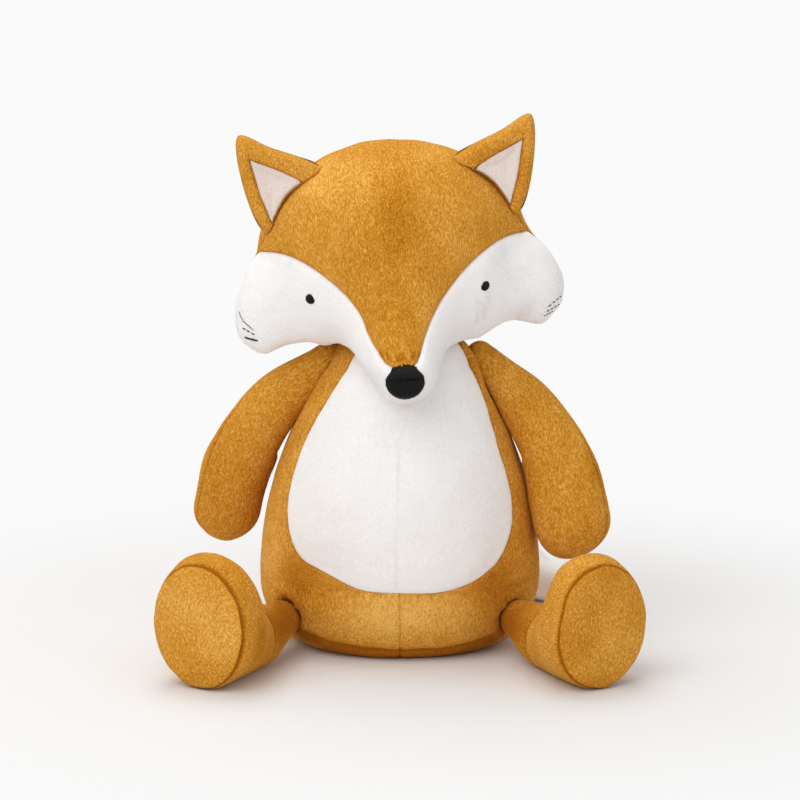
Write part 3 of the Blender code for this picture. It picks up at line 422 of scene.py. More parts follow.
def torso_normal(row, angle):
    """Outward normals, from neighbouring points."""
    row = np.maximum(row, STEP)
    high = np.minimum(row + STEP, ROW_RIM)
    along = torso_point(high, angle) - torso_point(high - STEP, angle)
    across = torso_point(row, angle + STEP) - torso_point(row, angle - STEP)
    return unit(np.cross(along, across))


def shoulder_frame():
    """The right shoulder's seat on the torso: its point and its outward normal."""
    row = float(ROW_SHOULDER)
    while torso_ring(row)[0] > SHOULDER_HEIGHT:
        row += STEP
    normal = torso_normal(np.array(row), np.array(SIDE_ANGLE))
    return torso_point(np.array(row), np.array(SIDE_ANGLE)) - normal * SHOULDER_FLAT, normal


SHOULDER_POINT, SHOULDER_NORMAL = shoulder_frame()


def hip_centre(side):
    """A leg's root, a ball that stands off the torso along its normal."""
    half_width, half_depth = torso_axes(HIP_HEIGHT)
    away = np.array((math.sin(HIP_ANGLE), -math.cos(HIP_ANGLE), 0.0))
    spread = math.hypot(half_width * away[0], half_depth * away[1])
    on_torso = np.array((half_width**2 * away[0] / spread, half_depth**2 * away[1] / spread, HIP_HEIGHT))
    found = on_torso + away * HIP_STANDOFF
    found[0] *= side
    return found


def tail_root():
    return np.array((0.0, float(torso_axes(TAIL_ROOT_HEIGHT)[1]) + TAIL_STANDOFF, TAIL_ROOT_HEIGHT))


HOLLOWS = (
    (hip_centre(1), HIP_RADIUS + JOINT_GAP),
    (tail_root(), TAIL_RADIUS * TAIL_GIRTH_SHARES[0] + JOINT_GAP),
)


def clear_of_ball(points, inward, centre, radius):
    """Points inside a ball are moved inward until they leave it."""
    away = points - centre
    ahead = dot(away, inward)
    room = dot(away, away) - radius**2
    push = np.where(room < 0, -ahead + np.sqrt(np.maximum(ahead * ahead - room, 0)), 0)
    return points + inward * push[..., None]


def torso_surface(side):
    """The torso's surface on one side, with the shoulder's flat and the hollows of leg and tail."""
    def surface(row, column, depth):
        angle = torso_angle(row, column) + side * belly_sway(row, column)
        normal = torso_normal(row, angle)
        found = torso_point(row, angle) - normal * depth[..., None]
        beyond = np.maximum(dot(found - SHOULDER_POINT, SHOULDER_NORMAL) + np.maximum(depth, 0), 0)
        found = found - SHOULDER_NORMAL * beyond[..., None]
        for centre, radius in HOLLOWS:
            found = clear_of_ball(found, -normal, centre, radius + np.maximum(depth, 0))
        found[..., 0] *= side
        found[..., 2] = np.maximum(found[..., 2], np.maximum(depth, 0))
        return found
    return surface


def base_direction(column):
    """The way out from the middle of the base to a lattice column, at full width one unit long."""
    angle = torso_angle(np.full(np.shape(column), float(ROW_RIM)), np.abs(column))
    forward = -np.cos(angle) * TORSO_DEPTH / TORSO_WIDTH
    return vec(np.sign(column) * np.sin(angle), forward, 0)


# Head

SOCKET_RADIUS = NECK_RADIUS + WAD_THICKNESS + 2 * JOINT_GAP
HEAD_PIVOT = Vector((-HEAD_OFFSET, 0, -HEAD_RISE))
MUZZLE_AXIS = unit(np.array((0.0, -MUZZLE_FORWARD - MUZZLE_RADIUS, -MUZZLE_DROP)))
MUZZLE_UP = np.array((0.0, MUZZLE_AXIS[2], -MUZZLE_AXIS[1]))
NECK_PLACE = Vector((0, 0, NECK_HEIGHT))
HEAD_FRAME = (
    Matrix.Translation(NECK_PLACE)
    @ Matrix.Rotation(HEAD_TURN, 4, "Z")
    @ Matrix.Rotation(-HEAD_ROLL, 4, "Y")
    @ Matrix.Translation(-HEAD_PIVOT)
)
NECK_IN_HEAD = np.array(HEAD_FRAME.inverted() @ NECK_PLACE)


def capsule_distance(point, start, end, start_radius, end_radius):
    """Signed distance to a rounded bar that tapers from one radius to another."""
    axis = end - start
    share = np.clip(dot(point - start, axis) / dot(axis, axis), 0, 1)
    gap = np.linalg.norm(point - start - axis * share[..., None], axis=-1)
    return gap - start_radius - (end_radius - start_radius) * share


def soft_union(first, second, width):
    """The lesser of two distances, rounded where they meet."""
    share = np.maximum(width - np.abs(first - second), 0) / width
    return np.minimum(first, second) - width * share**2 / 4


def skull_distance(point):
    half = np.broadcast_to(SKULL_HALF, point.shape).copy()
    half[..., 2] = np.where(point[..., 2] > 0, SKULL_HALF[2], SKULL_DROP)
    scaled = point / half
    length = np.linalg.norm(scaled, axis=-1)
    squared = np.linalg.norm(scaled / half, axis=-1)
    return np.where(squared > 0, length * (length - 1) / np.maximum(squared, 1e-9), -min(SKULL_HALF))


CHEEK_TOP = np.array((CHEEK_REACH - CHEEK_RADIUS / 3, -CHEEK_FORWARD, -CHEEK_TOP_DROP))
CHEEK_LOW = np.array((CHEEK_REACH, -CHEEK_FORWARD, -CHEEK_LOW_DROP))
JAW = np.array((JAW_REACH, -CHEEK_FORWARD, -JAW_DROP))
MUZZLE_ROOT = np.array((0, -MUZZLE_ROOT_FORWARD, -MUZZLE_ROOT_DROP))
MUZZLE_TIP = np.array((0, -MUZZLE_FORWARD, -MUZZLE_DROP))


def head_distance(point):
    """Signed distance to the head: skull, cheeks and muzzle in one."""
    folded = np.array(point, float)
    folded[..., 0] = np.abs(folded[..., 0])
    cheek = capsule_distance(folded, CHEEK_TOP, CHEEK_LOW, CHEEK_RADIUS, CHEEK_RADIUS)
    jowl = capsule_distance(folded, JAW, (CHEEK_TOP + CHEEK_LOW) / 2, JAW_RADIUS, CHEEK_RADIUS)
    muzzle = capsule_distance(folded, MUZZLE_ROOT, MUZZLE_TIP, MUZZLE_ROOT_RADIUS, MUZZLE_RADIUS)
    found = soft_union(skull_distance(folded), jowl, HEAD_BLEND)
    found = soft_union(found, cheek, HEAD_BLEND)
    return soft_union(found, muzzle, HEAD_BLEND)


def head_along(direction, depth):
    """The points of the head's surface in directions from its middle, at depths."""
    low = np.zeros(direction.shape[:-1])
    high = np.full(direction.shape[:-1], RAY_REACH)
    for _ in range(HALVINGS):
        middle = (low + high) / 2
        outside = head_distance(direction * middle[..., None]) > -depth
        high = np.where(outside, middle, high)
        low = np.where(outside, low, middle)
    return direction * low[..., None]


def head_direction(row, column):
    """Directions of lattice points: rows from the nose to the back, columns from the crown round."""
    side = np.where(column < 0, -1.0, 1.0)
    column = np.abs(column)
    share = np.clip((row - ROW_NOSE_RING) / HEAD_FACE_ROWS, 0, 1) ** NOSE_ROW_SHARE
    bow = (share - CROWN_NARROW_SHARE) / (1 - CROWN_NARROW_SHARE)
    seam = CROWN_ANGLE + CROWN_SPREAD * bow**2
    crown_turn = seam * column / CROWN_COLUMNS
    cheek_turn = seam + (math.pi - seam) * (column - CROWN_COLUMNS) / CHEEK_COLUMNS
    turn = np.where(column <= CROWN_COLUMNS, crown_turn, cheek_turn)
    crown_share = np.maximum(1 - (turn / (CROWN_ANGLE + CROWN_SPREAD)) ** 2, 0) ** 2
    edge = CHEEK_EDGE_ANGLE + (CROWN_EDGE_ANGLE - CHEEK_EDGE_ANGLE) * crown_share
    face = NOSE_RING_ANGLE + (edge - NOSE_RING_ANGLE) * share
    back = edge + (math.pi - edge) * (row - ROW_FACE_EDGE) / HEAD_BACK_ROWS
    beyond_nose = np.where(row <= ROW_FACE_EDGE, face, back)
    polar = np.where(row <= ROW_NOSE_RING, NOSE_RING_ANGLE * row, beyond_nose)
    away = MUZZLE_UP * np.cos(turn)[..., None] + vec(side * np.sin(turn), 0, 0)
    return MUZZLE_AXIS * np.cos(polar)[..., None] + away * np.sin(polar)[..., None]


def head_surface(side):
    """The head's surface on one side, in the row frame, hollowed over the neck."""
    def surface(row, column, depth):
        direction = head_direction(row, side * column)
        found = head_along(direction, depth)
        found = clear_of_ball(found, -direction, NECK_IN_HEAD, SOCKET_RADIUS + np.maximum(depth, 0))
        return moved(found, HEAD_FRAME)
    return surface


# Ears

def ear_seat():
    """The middle of the right ear's base, a little way into the head."""
    upright = math.cos(EAR_FORWARD_ANGLE)
    toward = np.array((
        upright * math.sin(EAR_SIDE_ANGLE),
        -math.sin(EAR_FORWARD_ANGLE),
        upright * math.cos(EAR_SIDE_ANGLE),
    ))
    return head_along(toward, np.array(EAR_SEAT_DEPTH))


def ear_frame(side):
    seat = ear_seat()
    place = Vector((side * seat[0], seat[1], seat[2]))
    return Matrix.Translation(place) @ Matrix.Rotation(side * EAR_LEAN, 4, "Y")


def ear_outline(share):
    """The ear's closed outline in its own plane: across its base, and up."""
    points = np.asarray(EAR_OUTLINE_SHARES, float)
    count = len(points)
    at = (share % 1) * count
    k = at.astype(int) % count
    before, start, end, after = (points[(k + step) % count] for step in (-1, 0, 1, 2))
    found = spline(before, start, end, after, (at - np.floor(at))[..., None])
    return found[..., 0] * EAR_BASE, found[..., 1] * EAR_HEIGHT


def lining_share(across, up):
    """How far toward points of the outline the lining reaches, with its sides parallel to the ear's."""
    centre = EAR_HEIGHT * EAR_CENTRE_SHARE
    found = np.full(across.shape, LINING_REACH_SHARE)
    for first, last, width in RIM_SIDES:
        start, end = [np.array(EAR_OUTLINE_SHARES[k]) * (EAR_BASE, EAR_HEIGHT) for k in (first, last)]
        inward = unit(np.array((start[1] - end[1], end[0] - start[0])))
        closing = -(across * inward[0] + (up - centre) * inward[1])
        room = -start[0] * inward[0] + (centre - start[1]) * inward[1] - width
        found = np.where(closing > 0, np.minimum(found, room / np.maximum(closing, 1e-9)), found)
    return found


# The ear's front, in shares of half its thickness: a dished lining, and a rim that swells and rolls over
LINING_DISH_SHARE = 0.50
LINING_RISE_SHARE = 0.30
LINING_MIDDLE_SHARE = 0.1
RIM_RISE_SHARE = 0.80
RIM_SWELL_SHARE = 0.32
RIM_CREST_SHARE = 0.76
RIM_FLAT_SHARE = 0.38
EAR_BACK_POWER = 3.2
# The back panel laps over its edge toward the front, so that the seam is closed
EAR_SEAM_HALF = 0.0002
EAR_SEAM_LAP = 0.0007
EAR_LAP_POWER = 8
# The ear's foot climbs the head in steps until it only just sinks in
FOOT_SINK = 0.0004
FOOT_STEP = 0.0006
FOOT_STEPS = 60


def ear_surface(side, facing):
    """An ear's front (facing -1) or back: rows are shares out from its middle, columns go round."""
    inside = ear_frame(side)

    def surface(row, column, depth):
        across, up = ear_outline(column)
        centre = EAR_HEIGHT * EAR_CENTRE_SHARE
        half = EAR_THICKNESS / 2
        if facing < 0:
            rim = np.clip((row - LINING_SHARE) / (1 - LINING_SHARE), 0, 1)
            rolled = np.maximum(rim - RIM_FLAT_SHARE, 0) / (1 - RIM_FLAT_SHARE)
            roll = np.sqrt(np.maximum(1 - rolled**2, 0))
            dish = LINING_DISH_SHARE + LINING_RISE_SHARE * fade(row, LINING_MIDDLE_SHARE, LINING_SHARE)
            crest = np.sin(np.minimum(rim / RIM_CREST_SHARE, 1) * math.pi / 2)
            swell = RIM_RISE_SHARE + RIM_SWELL_SHARE * crest
            out = half * np.where(row < LINING_SHARE, dish, swell * roll)
        else:
            out = half * np.sqrt(np.maximum(1 - np.maximum(row, 0) ** EAR_BACK_POWER, 0))
        out = out - depth
        ring = np.maximum(row, 0)
        lap = 0 if facing < 0 else EAR_SEAM_LAP * ring**EAR_LAP_POWER
        if facing < 0:
            share = lining_share(across, up)
            in_rim = share + (1 - share) * (ring - LINING_SHARE) / (1 - LINING_SHARE)
            ring = np.where(ring < LINING_SHARE, ring * share / LINING_SHARE, in_rim)
            up = up - EAR_FOOT_DROP * np.clip(1 - up / (EAR_HEIGHT * EAR_FOOT_HEIGHT_SHARE), 0, 1)
        forward = facing * (np.maximum(out, EAR_SEAM_HALF) - lap)
        spot = moved(vec(side * across * ring, forward, centre + (up - centre) * ring), inside)
        up_way = np.array(inside.to_3x3() @ Vector((0, 0, 1)))
        lift = np.zeros(spot.shape[:-1])
        for _ in range(FOOT_STEPS):
            low = head_distance(spot + up_way * lift[..., None]) < np.maximum(depth, 0) - FOOT_SINK
            lift = lift + np.where(low, FOOT_STEP, 0)
        return moved(spot + up_way * lift[..., None], HEAD_FRAME)
    return surface


# Limbs and tail

def stuffed_limb(path, halves, root_reach, tip_reach, broad, body_rows, column_count):
    """The surface of a round-ended limb along a path, as the CAD makes it."""
    broad = np.asarray(broad, float)

    def surface(row, column, depth):
        body = np.clip((row - CAP_ROWS) / body_rows, 0, 1)
        root = np.clip(1 - row / CAP_ROWS, 0, 1) * math.pi / 2
        tip = np.clip((row - CAP_ROWS - body_rows) / CAP_ROWS, 0, 1) * math.pi / 2
        centre = curve_at(path, body)
        ahead = curve_at(path, body + STEP) - curve_at(path, body - STEP)
        ahead = unit(ahead - broad * dot(ahead, broad)[..., None])
        across = np.cross(ahead, broad)
        half = curve_at(halves, body)
        centre = centre - ahead * ((root_reach - depth) * np.sin(root))[..., None]
        centre = centre + ahead * ((tip_reach - depth) * np.sin(tip))[..., None]
        size = np.cos(root) * np.cos(tip)
        turn = math.tau * column / column_count
        wide = (half[..., 0] - depth) * size * np.cos(turn)
        deep = (half[..., 1] - depth) * size * np.sin(turn)
        return centre + across * wide[..., None] + broad * deep[..., None]
    return surface


def arm_frame(name, side):
    normal = Vector((side * SHOULDER_NORMAL[0], 0, SHOULDER_NORMAL[2]))
    backward = Vector((0, side, 0))
    turn = Matrix((normal, backward, normal.cross(backward))).transposed().to_4x4()
    origin = Vector((side * SHOULDER_POINT[0], 0, SHOULDER_POINT[2]))
    return Matrix.Translation(origin) @ turn @ Matrix.Rotation(-side * ARM_SWING[name], 4, "X")


def arm_surface(name, side):
    """An arm's surface, flat where its root lies on the torso, in the row frame."""
    path = [(out, 0, -down) for out, down in ARM_PATH]
    halves = [(radius, radius * ARM_FLATNESS_SHARE) for radius in ARM_RADII]
    round_arm = stuffed_limb(path, halves, ARM_RADII[0], ARM_RADII[-1], (0, 1, 0), ARM_ROWS, ARM_COLUMNS)
    frame_of_arm = arm_frame(name, side)

    def surface(row, column, depth):
        found = round_arm(row, column, depth)
        flat = -found[..., 2] < ARM_FLAT_LENGTH
        held = np.maximum(found[..., 0], SEAT_GAP + np.maximum(depth, 0))
        found[..., 0] = np.where(flat, held, found[..., 0])
        return moved(found, frame_of_arm)
    return surface


def leg_surface(side):
    root = hip_centre(side)
    shares = np.linspace(0, 1, LEG_PATH_STEPS + 1)
    growth = value_at(LEG_GROWTH_SHARES, shares)
    taper = value_at(LEG_TAPER_SHARES, shares)
    radius = LEG_RADIUS + (HIP_RADIUS - LEG_RADIUS) * taper
    half_across = radius + (FOOT_WIDTH / 2 - LEG_RADIUS) * growth
    half_up = radius + (FOOT_HEIGHT / 2 - LEG_RADIUS) * growth
    path = vec(0 * shares, -LEG_LENGTH * shares, (half_up - FLOOR_FLAT - HIP_HEIGHT) * (1 - taper))
    halves = vec(half_across, half_up)
    round_leg = stuffed_limb(path, halves, HIP_RADIUS, SOLE_CROWN, (0, 0, 1), LEG_ROWS, LEG_COLUMNS)
    frame_of_leg = Matrix.Translation(Vector(root)) @ Matrix.Rotation(side * LEG_SPLAY, 4, "Z")

    def surface(row, column, depth):
        found = moved(round_leg(row, column, depth), frame_of_leg)
        found[..., 2] = np.maximum(found[..., 2], np.maximum(depth, 0))
        return found
    return surface


def tail_surface():
    root = tail_root()
    radii = np.array(TAIL_GIRTH_SHARES) * TAIL_RADIUS
    path = []
    for (across, back), radius in zip(TAIL_PATH_SHARES, radii):
        height = max(radius - FLOOR_FLAT, 0) - root[2] if path else 0
        path.append((TAIL_REACH * across, TAIL_SWEEP * back, height))
    halves = vec(radii, radii)
    round_tail = stuffed_limb(path, halves, radii[0], TAIL_TIP_LENGTH, (0, 0, 1), TAIL_ROWS, TAIL_COLUMNS)

    def surface(row, column, depth):
        found = round_tail(row, column, depth) + root
        found[..., 2] = np.maximum(found[..., 2], np.maximum(depth, 0))
        return found
    return surface


# The seam round the base, in the photograph's pixels
BASE_SEAM = ((303, 631), (330, 643), (365, 650), (401, 652), (438, 650), (470, 644), (493, 635))
# BASE_EDGE is where a band of painted shade runs on the base's turned-up edge, this many pixels below the
# seam
BASE_EDGE_DROP = 5
BASE_EDGE = tuple((across, down + BASE_EDGE_DROP) for across, down in BASE_SEAM)

# Creases and gathers that the photograph shows, in its pixels, and below them patches of painted shade and
# painted light:
# (pieces, line of places, width, depth in metres)
CREASES = (
    (("crown_gusset",), ((385, 136), (385, 168)), 2.6, 0.0014),
    (("crown_gusset",), ((386, 355), (402, 359), (419, 355)), 3.0, 0.0007),
    (("cheek_right", "crown_gusset"), ((479, 294), (484, 322)), 3.2, 0.0013),
    (("cheek_right", "crown_gusset"), ((494, 292), (491, 320)), 3.6, 0.0011),
    (("cheek_left",), ((303, 306), (306, 328)), 4.0, 0.0004),
    (("cheek_right",), ((537, 304), (530, 314), (521, 325)), 6.0, 0.0009),
    (("front_left",), ((268, 588), (290, 606), (302, 618)), 4.0, 0.0012),
    (("front_left",), ((280, 580), (300, 600)), 4.0, 0.0009),
    (("front_right",), ((536, 586), (514, 608), (503, 620)), 4.0, 0.0012),
    (("front_right",), ((524, 580), (505, 600)), 4.0, 0.0009),
    (("arm_left",), ((252, 398), (268, 410), (276, 430)), 4.0, 0.0012),
    (("arm_left",), ((262, 392), (280, 404)), 3.5, 0.0010),
    (("arm_left",), ((238, 416), (256, 428), (262, 446)), 4.0, 0.0007),
    (("arm_right",), ((556, 398), (542, 410), (534, 430)), 4.0, 0.0012),
    (("arm_right",), ((546, 392), (530, 404)), 3.5, 0.0010),
    (("front_left", "front_right"), BASE_SEAM, 2.2, 0.0010),
)
# Patches of painted shade where the pile lies in shadow (leg tubes, a foot, the arms' outer sides, beside
# the hips) and of painted light where light falls or bounces (the lower front, the left flank, a sole); the
# crown's two patches are painted shade and light and partly the pile's lay
# (pieces, centre, radii in pixels, shade from -1 to 1: painted shade below 0, painted light above 0)
PILE_LAY_AND_PAINTED_LIGHT_PATCHES = (
    (("front_left",), (300, 580), (20, 30), -0.55),
    (("front_right",), (492, 590), (20, 28), -0.55),
    (("crown_gusset",), (392, 235), (34, 70), -0.55),
    (("crown_gusset",), (318, 185), (36, 40), 0.45),
    (("arm_left",), (214, 470), (16, 40), -0.40),
    (("arm_right",), (592, 470), (16, 40), -0.40),
    (("leg_left_tube",), (284, 622), (20, 26), -1.5),
    (("leg_right_tube",), (510, 626), (20, 26), -1.5),
    (("leg_left_foot",), (262, 640), (14, 30), -0.6),
    (("front_left", "front_right"), (398, 618), (80, 24), 0.9),
    (("front_left",), (274, 540), (14, 50), 0.5),
    (("leg_left_sole",), (205, 615), (60, 60), 0.35),
)
# Lines of painted shade in creases, along seams and on the base's turned-up edge: (pieces, line of places,
# width in pixels, shade)
PAINTED_SHADE_LINES = (
    (("front_left", "front_right"), BASE_SEAM, 1.6, -1.6),
    (("front_left", "front_right"), BASE_EDGE, 3.2, -1.7),
    (("belly_",), ((398, 450), (396, 592)), 1.0, -0.9),
    (("cheek_right",), ((487, 297), (485, 320)), 2.2, -1.0),
    (("cheek_right",), ((480, 303), (477, 324)), 2.0, -0.8),
    (("cheek_right",), ((537, 304), (530, 314), (521, 325)), 4.0, -0.7),
    (("crown_gusset",), ((387, 356), (402, 360), (418, 356)), 1.8, -1.2),
    (("front_left",), ((283, 602), (290, 616), (298, 632)), 4.0, -1.2),
    (("front_right",), ((516, 604), (508, 618), (500, 634)), 4.0, -1.2),
)


# Places where the stuffing pushes a piece over, in the photograph's pixels:
# (pieces, centre, radii, shift right and down)
WARPS = (
    (("arm_right",), (540, 515), (24, 52), (-8, 2)),
    (("arm_right",), (566, 552), (30, 22), (-4, 6)),
    (("arm_left",), (327, 351), (18, 16), (11, -8)),
    (("arm_left",), (310, 398), (14, 34), (5, 0)),
    (("arm_right",), (484, 354), (22, 16), (-3, -8)),
    (("front_right", "back_right"), (470, 358), (20, 26), (5, -1)),
    (("belly_left", "front_left"), (326, 582), (36, 22), (0, -8)),
    (("belly_", "front_"), (398, 597), (34, 12), (0, -3)),
    (("leg_right",), (544, 606), (16, 34), (7, 0)),
    (("cheek_left", "head_back_left"), (240, 283), (36, 30), (5, 0)),
    (("cheek_left", "head_back_left"), (330, 346), (34, 16), (0, -5)),
    (("cheek_left",), (262, 352), (18, 13), (2, 4)),
    (("cheek_left",), (293, 342), (16, 10), (0, 3)),
    (("cheek_left",), (368, 388), (14, 18), (5, -2)),
    (("cheek_right", "head_back_right"), (564, 274), (30, 22), (4, 0)),
    (("cheek_right",), (522, 326), (26, 12), (0, -5)),
    (("cheek_right",), (556, 318), (14, 12), (-3, -3)),
    (("head_back_right",), (552, 250), (24, 24), (4, 0)),
    (("crown_gusset", "cheek_left"), (382, 342), (24, 32), (-8, 0)),
    (("crown_gusset", "cheek_left"), (393, 364), (14, 14), (-4, 0)),
    (("crown_gusset", "cheek_right"), (416, 360), (16, 22), (4, 0)),
)


# Beside a crease the pile rises in a low bank, and at its ends a crease runs out
CREASE_BANK_AWAY = 2.2
CREASE_BANK_SHARE = 0.35
CREASE_END_SHARE = 0.35


def nearness(across, down, centre, radii):
    """1 at a place of the photograph, falling off smoothly over the radii."""
    return np.exp(-(((across - centre[0]) / radii[0]) ** 2 + ((down - centre[1]) / radii[1]) ** 2))


def warped(name, points):
    """The points of a piece, pushed over where the table says."""
    across, down = in_photo(points)
    moves = np.zeros(points.shape)
    for pieces, centre, radii, (right, low) in WARPS:
        if belongs(name, pieces):
            shift = (CAMERA_RIGHT * right - CAMERA_UP * low) * CAMERA_DISTANCE / PHOTO_FOCUS
            moves += nearness(across, down, centre, radii)[..., None] * shift
    return points + moves


def belongs(name, pieces):
    """Whether a piece is one of those that a table's row names by their first letters."""
    return any(name.startswith(p) for p in pieces)


def crease_depth(name, points, facing):
    """How deep the creases of a piece are at points that face the camera."""
    across, down = in_photo(points)
    found = np.zeros(across.shape)
    for pieces, line, width, depth in CREASES:
        if belongs(name, pieces):
            gap, along = near_line(across, down, line)
            ends = np.minimum(fade(along, -0.01, 0.25), 1 - fade(along, 0.75, 1.01))
            bank = np.exp(-(((gap - CREASE_BANK_AWAY * width) / width) ** 2))
            fold = np.exp(-((gap / width) ** 2)) - CREASE_BANK_SHARE * bank
            found += depth * fold * (CREASE_END_SHARE + (1 - CREASE_END_SHARE) * ends)
    return found * facing


def pile_lay_and_painted_light(name, points, facing):
    """How much painted light and painted shade the patches and lines put on a piece, at points that face
    the camera.
    """
    across, down = in_photo(points)
    found = np.zeros(across.shape)
    for pieces, centre, radii, shade in PILE_LAY_AND_PAINTED_LIGHT_PATCHES:
        if belongs(name, pieces):
            found += shade * nearness(across, down, centre, radii)
    for pieces, line, width, shade in PAINTED_SHADE_LINES:
        if belongs(name, pieces):
            gap, along = near_line(across, down, line)
            found += shade * np.exp(-((gap / width) ** 2))
    return found * facing


# Panels

def seed_of(name):
    """A number of a piece's own, so that no two panels carry the same grain."""
    return sum(ord(c) * (k + 1) for k, c in enumerate(name)) % 97 * 0.01


def stretched(first, last, count, pulled_first, pulled_last):
    """Steps from first to last, closer together next to a seam."""
    u = np.linspace(0, 1, count + 1)
    if pulled_first and pulled_last:
        u = u - SEAM_PULL * np.sin(2 * math.pi * u) / (2 * math.pi)
    elif pulled_first:
        u = u - SEAM_PULL * np.sin(math.pi * u) / math.pi
    elif pulled_last:
        u = u + SEAM_PULL * np.sin(math.pi * u) / math.pi
    return first + (last - first) * u


def grid_normals(points, wrap):
    """Unit normals of a grid of points, by neighbouring rows and columns."""
    along = np.gradient(points, axis=0)
    if wrap:
        across = (np.roll(points, -1, axis=1) - np.roll(points, 1, axis=1)) / 2
    else:
        across = np.gradient(points, axis=1)
    return unit(np.cross(along, across))


def grid_faces(rows, columns, wrap=True):
    """Faces between the neighbouring rows and columns of a grid of vertices."""
    faces = []
    for i in range(rows - 1):
        a, b = i * columns, (i + 1) * columns
        for j in range(columns if wrap else columns - 1):
            k = (j + 1) % columns
            faces.append((a + j, a + k, b + k, b + j))
    return faces


def panel(
        name, surface, rows, columns, cell, seams, wrap=False, lump=1.0, seam_depth=SEAM_DEPTH,
        seam_width=SEAM_WIDTH, wave=None, upright=False, depths={}, dark=0.7, flush=(), corner=None):
    """The visible side of a fabric panel, its seam edges rolled in and tucked under.

    seams names the edges that are sewn: first_row, last_row, first_column and last_column. The pile
    lies along the rows' order, or straight up where upright is set. A corner is a row that the
    lattice passes through, because an edge turns there. Edges in flush aren't tucked under.
    """
    probe_rows = np.linspace(rows[0], rows[1], 13)
    probe_columns = np.linspace(columns[0], columns[1], 13)
    grid = np.meshgrid(probe_rows, probe_columns, indexing="ij")
    probe = surface(grid[0], grid[1], np.zeros(grid[0].shape))
    length = np.linalg.norm(np.diff(probe, axis=0), axis=-1).sum(axis=0).max()
    width = np.linalg.norm(np.diff(probe, axis=1), axis=-1).sum(axis=1).max()
    size = cell / FINE
    row_count = max(int(length / size), 6)
    column_count = max(int(width / size), 8)
    row_places = stretched(rows[0], rows[1], row_count, "first_row" in seams, "last_row" in seams)
    if corner is not None:
        row_places[np.argmin(np.abs(row_places - corner))] = corner
    if wrap:
        column_places = np.linspace(columns[0], columns[1], column_count + 1)[:-1]
    else:
        column_places = stretched(
            columns[0], columns[1], column_count, "first_column" in seams, "last_column" in seams)
    row, column = np.meshgrid(row_places, column_places, indexing="ij")
    zero = np.zeros(row.shape)
    flat = surface(row, column, zero)

    down = np.linalg.norm(np.diff(flat, axis=0), axis=-1)
    down = np.concatenate((np.zeros((1, down.shape[1])), np.cumsum(down, axis=0)))
    side = np.linalg.norm(np.diff(flat, axis=1), axis=-1)
    side = np.concatenate((np.zeros((side.shape[0], 1)), np.cumsum(side, axis=1)), axis=1)
    gaps = {
        "first_row": down,
        "last_row": down[-1:] - down,
        "first_column": side,
        "last_column": side[:, -1:] - side,
    }
    sunk = zero.copy()
    inner = np.ones(row.shape)
    seam_shade = zero.copy()
    for edge in seams:
        gap = gaps[edge]
        deep = depths.get(edge, seam_depth)
        part = np.clip(1 - gap / seam_width, 0, 1)
        pucker = 1 + PUCKER * grain(flat, PUCKER_SIZE, 3.0)
        sunk = np.maximum(sunk, deep * pucker * (1 - np.sqrt(1 - np.minimum(part, 0.999) ** 2)))
        # Painted shade along the seam's line, darkest where the seam sinks deepest
        seam_shade -= dark * deep / seam_depth * pucker * np.exp(-((gap / SEAM_LINE_WIDTH) ** 2))
        inner *= fade(gap, 0.0, SEAM_EASE)
    raised = -sunk
    for share, size, seed in LUMPS:
        raised += LUMP * lump * inner * share * grain(flat, size, seed)

    normal = grid_normals(flat, wrap)
    outward = flat - surface(row, column, zero + 0.001)
    normal = normal * np.sign(dot(normal, outward))[..., None]
    facing = fade(-dot(normal, unit(flat - CAMERA_PLACE)), 0.0, 0.25)
    raised -= crease_depth(name, flat, facing)
    if wave is not None:
        raised += wave(flat, row, column, gaps)
    points = warped(name, surface(row, column, -raised))
    # Painted shade and light of the patches, lines and seams, kept per point as the shade attribute
    shade = pile_lay_and_painted_light(name, flat, facing) + seam_shade

    vertices = [tuple(p) for p in points.reshape(-1, 3)]
    if upright:
        lay = vec(flat[..., 0], flat[..., 2], flat[..., 1] + seed_of(name))
    elif wrap:
        radius = side[:, -1:] / math.tau
        turn = math.tau * (column - columns[0]) / (columns[1] - columns[0])
        lay = vec(radius * np.cos(turn), down, radius * np.sin(turn) + seed_of(name))
    else:
        lay = vec(side - side[:, side.shape[1] // 2][:, None], down, zero + seed_of(name))
    rest = [tuple(p) for p in lay.reshape(-1, 3)]
    shades = list(shade.ravel())
    faces = grid_faces(*row.shape, wrap)

    def skirt(line, place_rows, place_columns):
        """Turn an edge of the panel under, into the seam."""
        before = line
        for depth in SKIRT_DEPTHS:
            under = warped(name, surface(place_rows, place_columns, np.full(place_rows.shape, depth)))
            start = len(vertices)
            vertices.extend(tuple(p) for p in under)
            rest.extend(rest[k] for k in line)
            shades.extend([0.0] * len(under))
            now = list(range(start, start + len(under)))
            count = len(now) if wrap and len(now) == row.shape[1] else len(now) - 1
            for j in range(count):
                k = (j + 1) % len(now)
                faces.append((before[j], before[k], now[k], now[j]))
            before = now

    index = np.arange(row.size).reshape(row.shape)
    edges = (
        ("first_row", np.s_[0]),
        ("last_row", np.s_[-1]),
        ("first_column", np.s_[:, 0]),
        ("last_column", np.s_[:, -1]),
    )
    for edge, line in edges:
        if edge in seams and edge not in flush:
            skirt(list(index[line]), row[line], column[line])
    return mesh_object(name, vertices, faces, rest, shades)


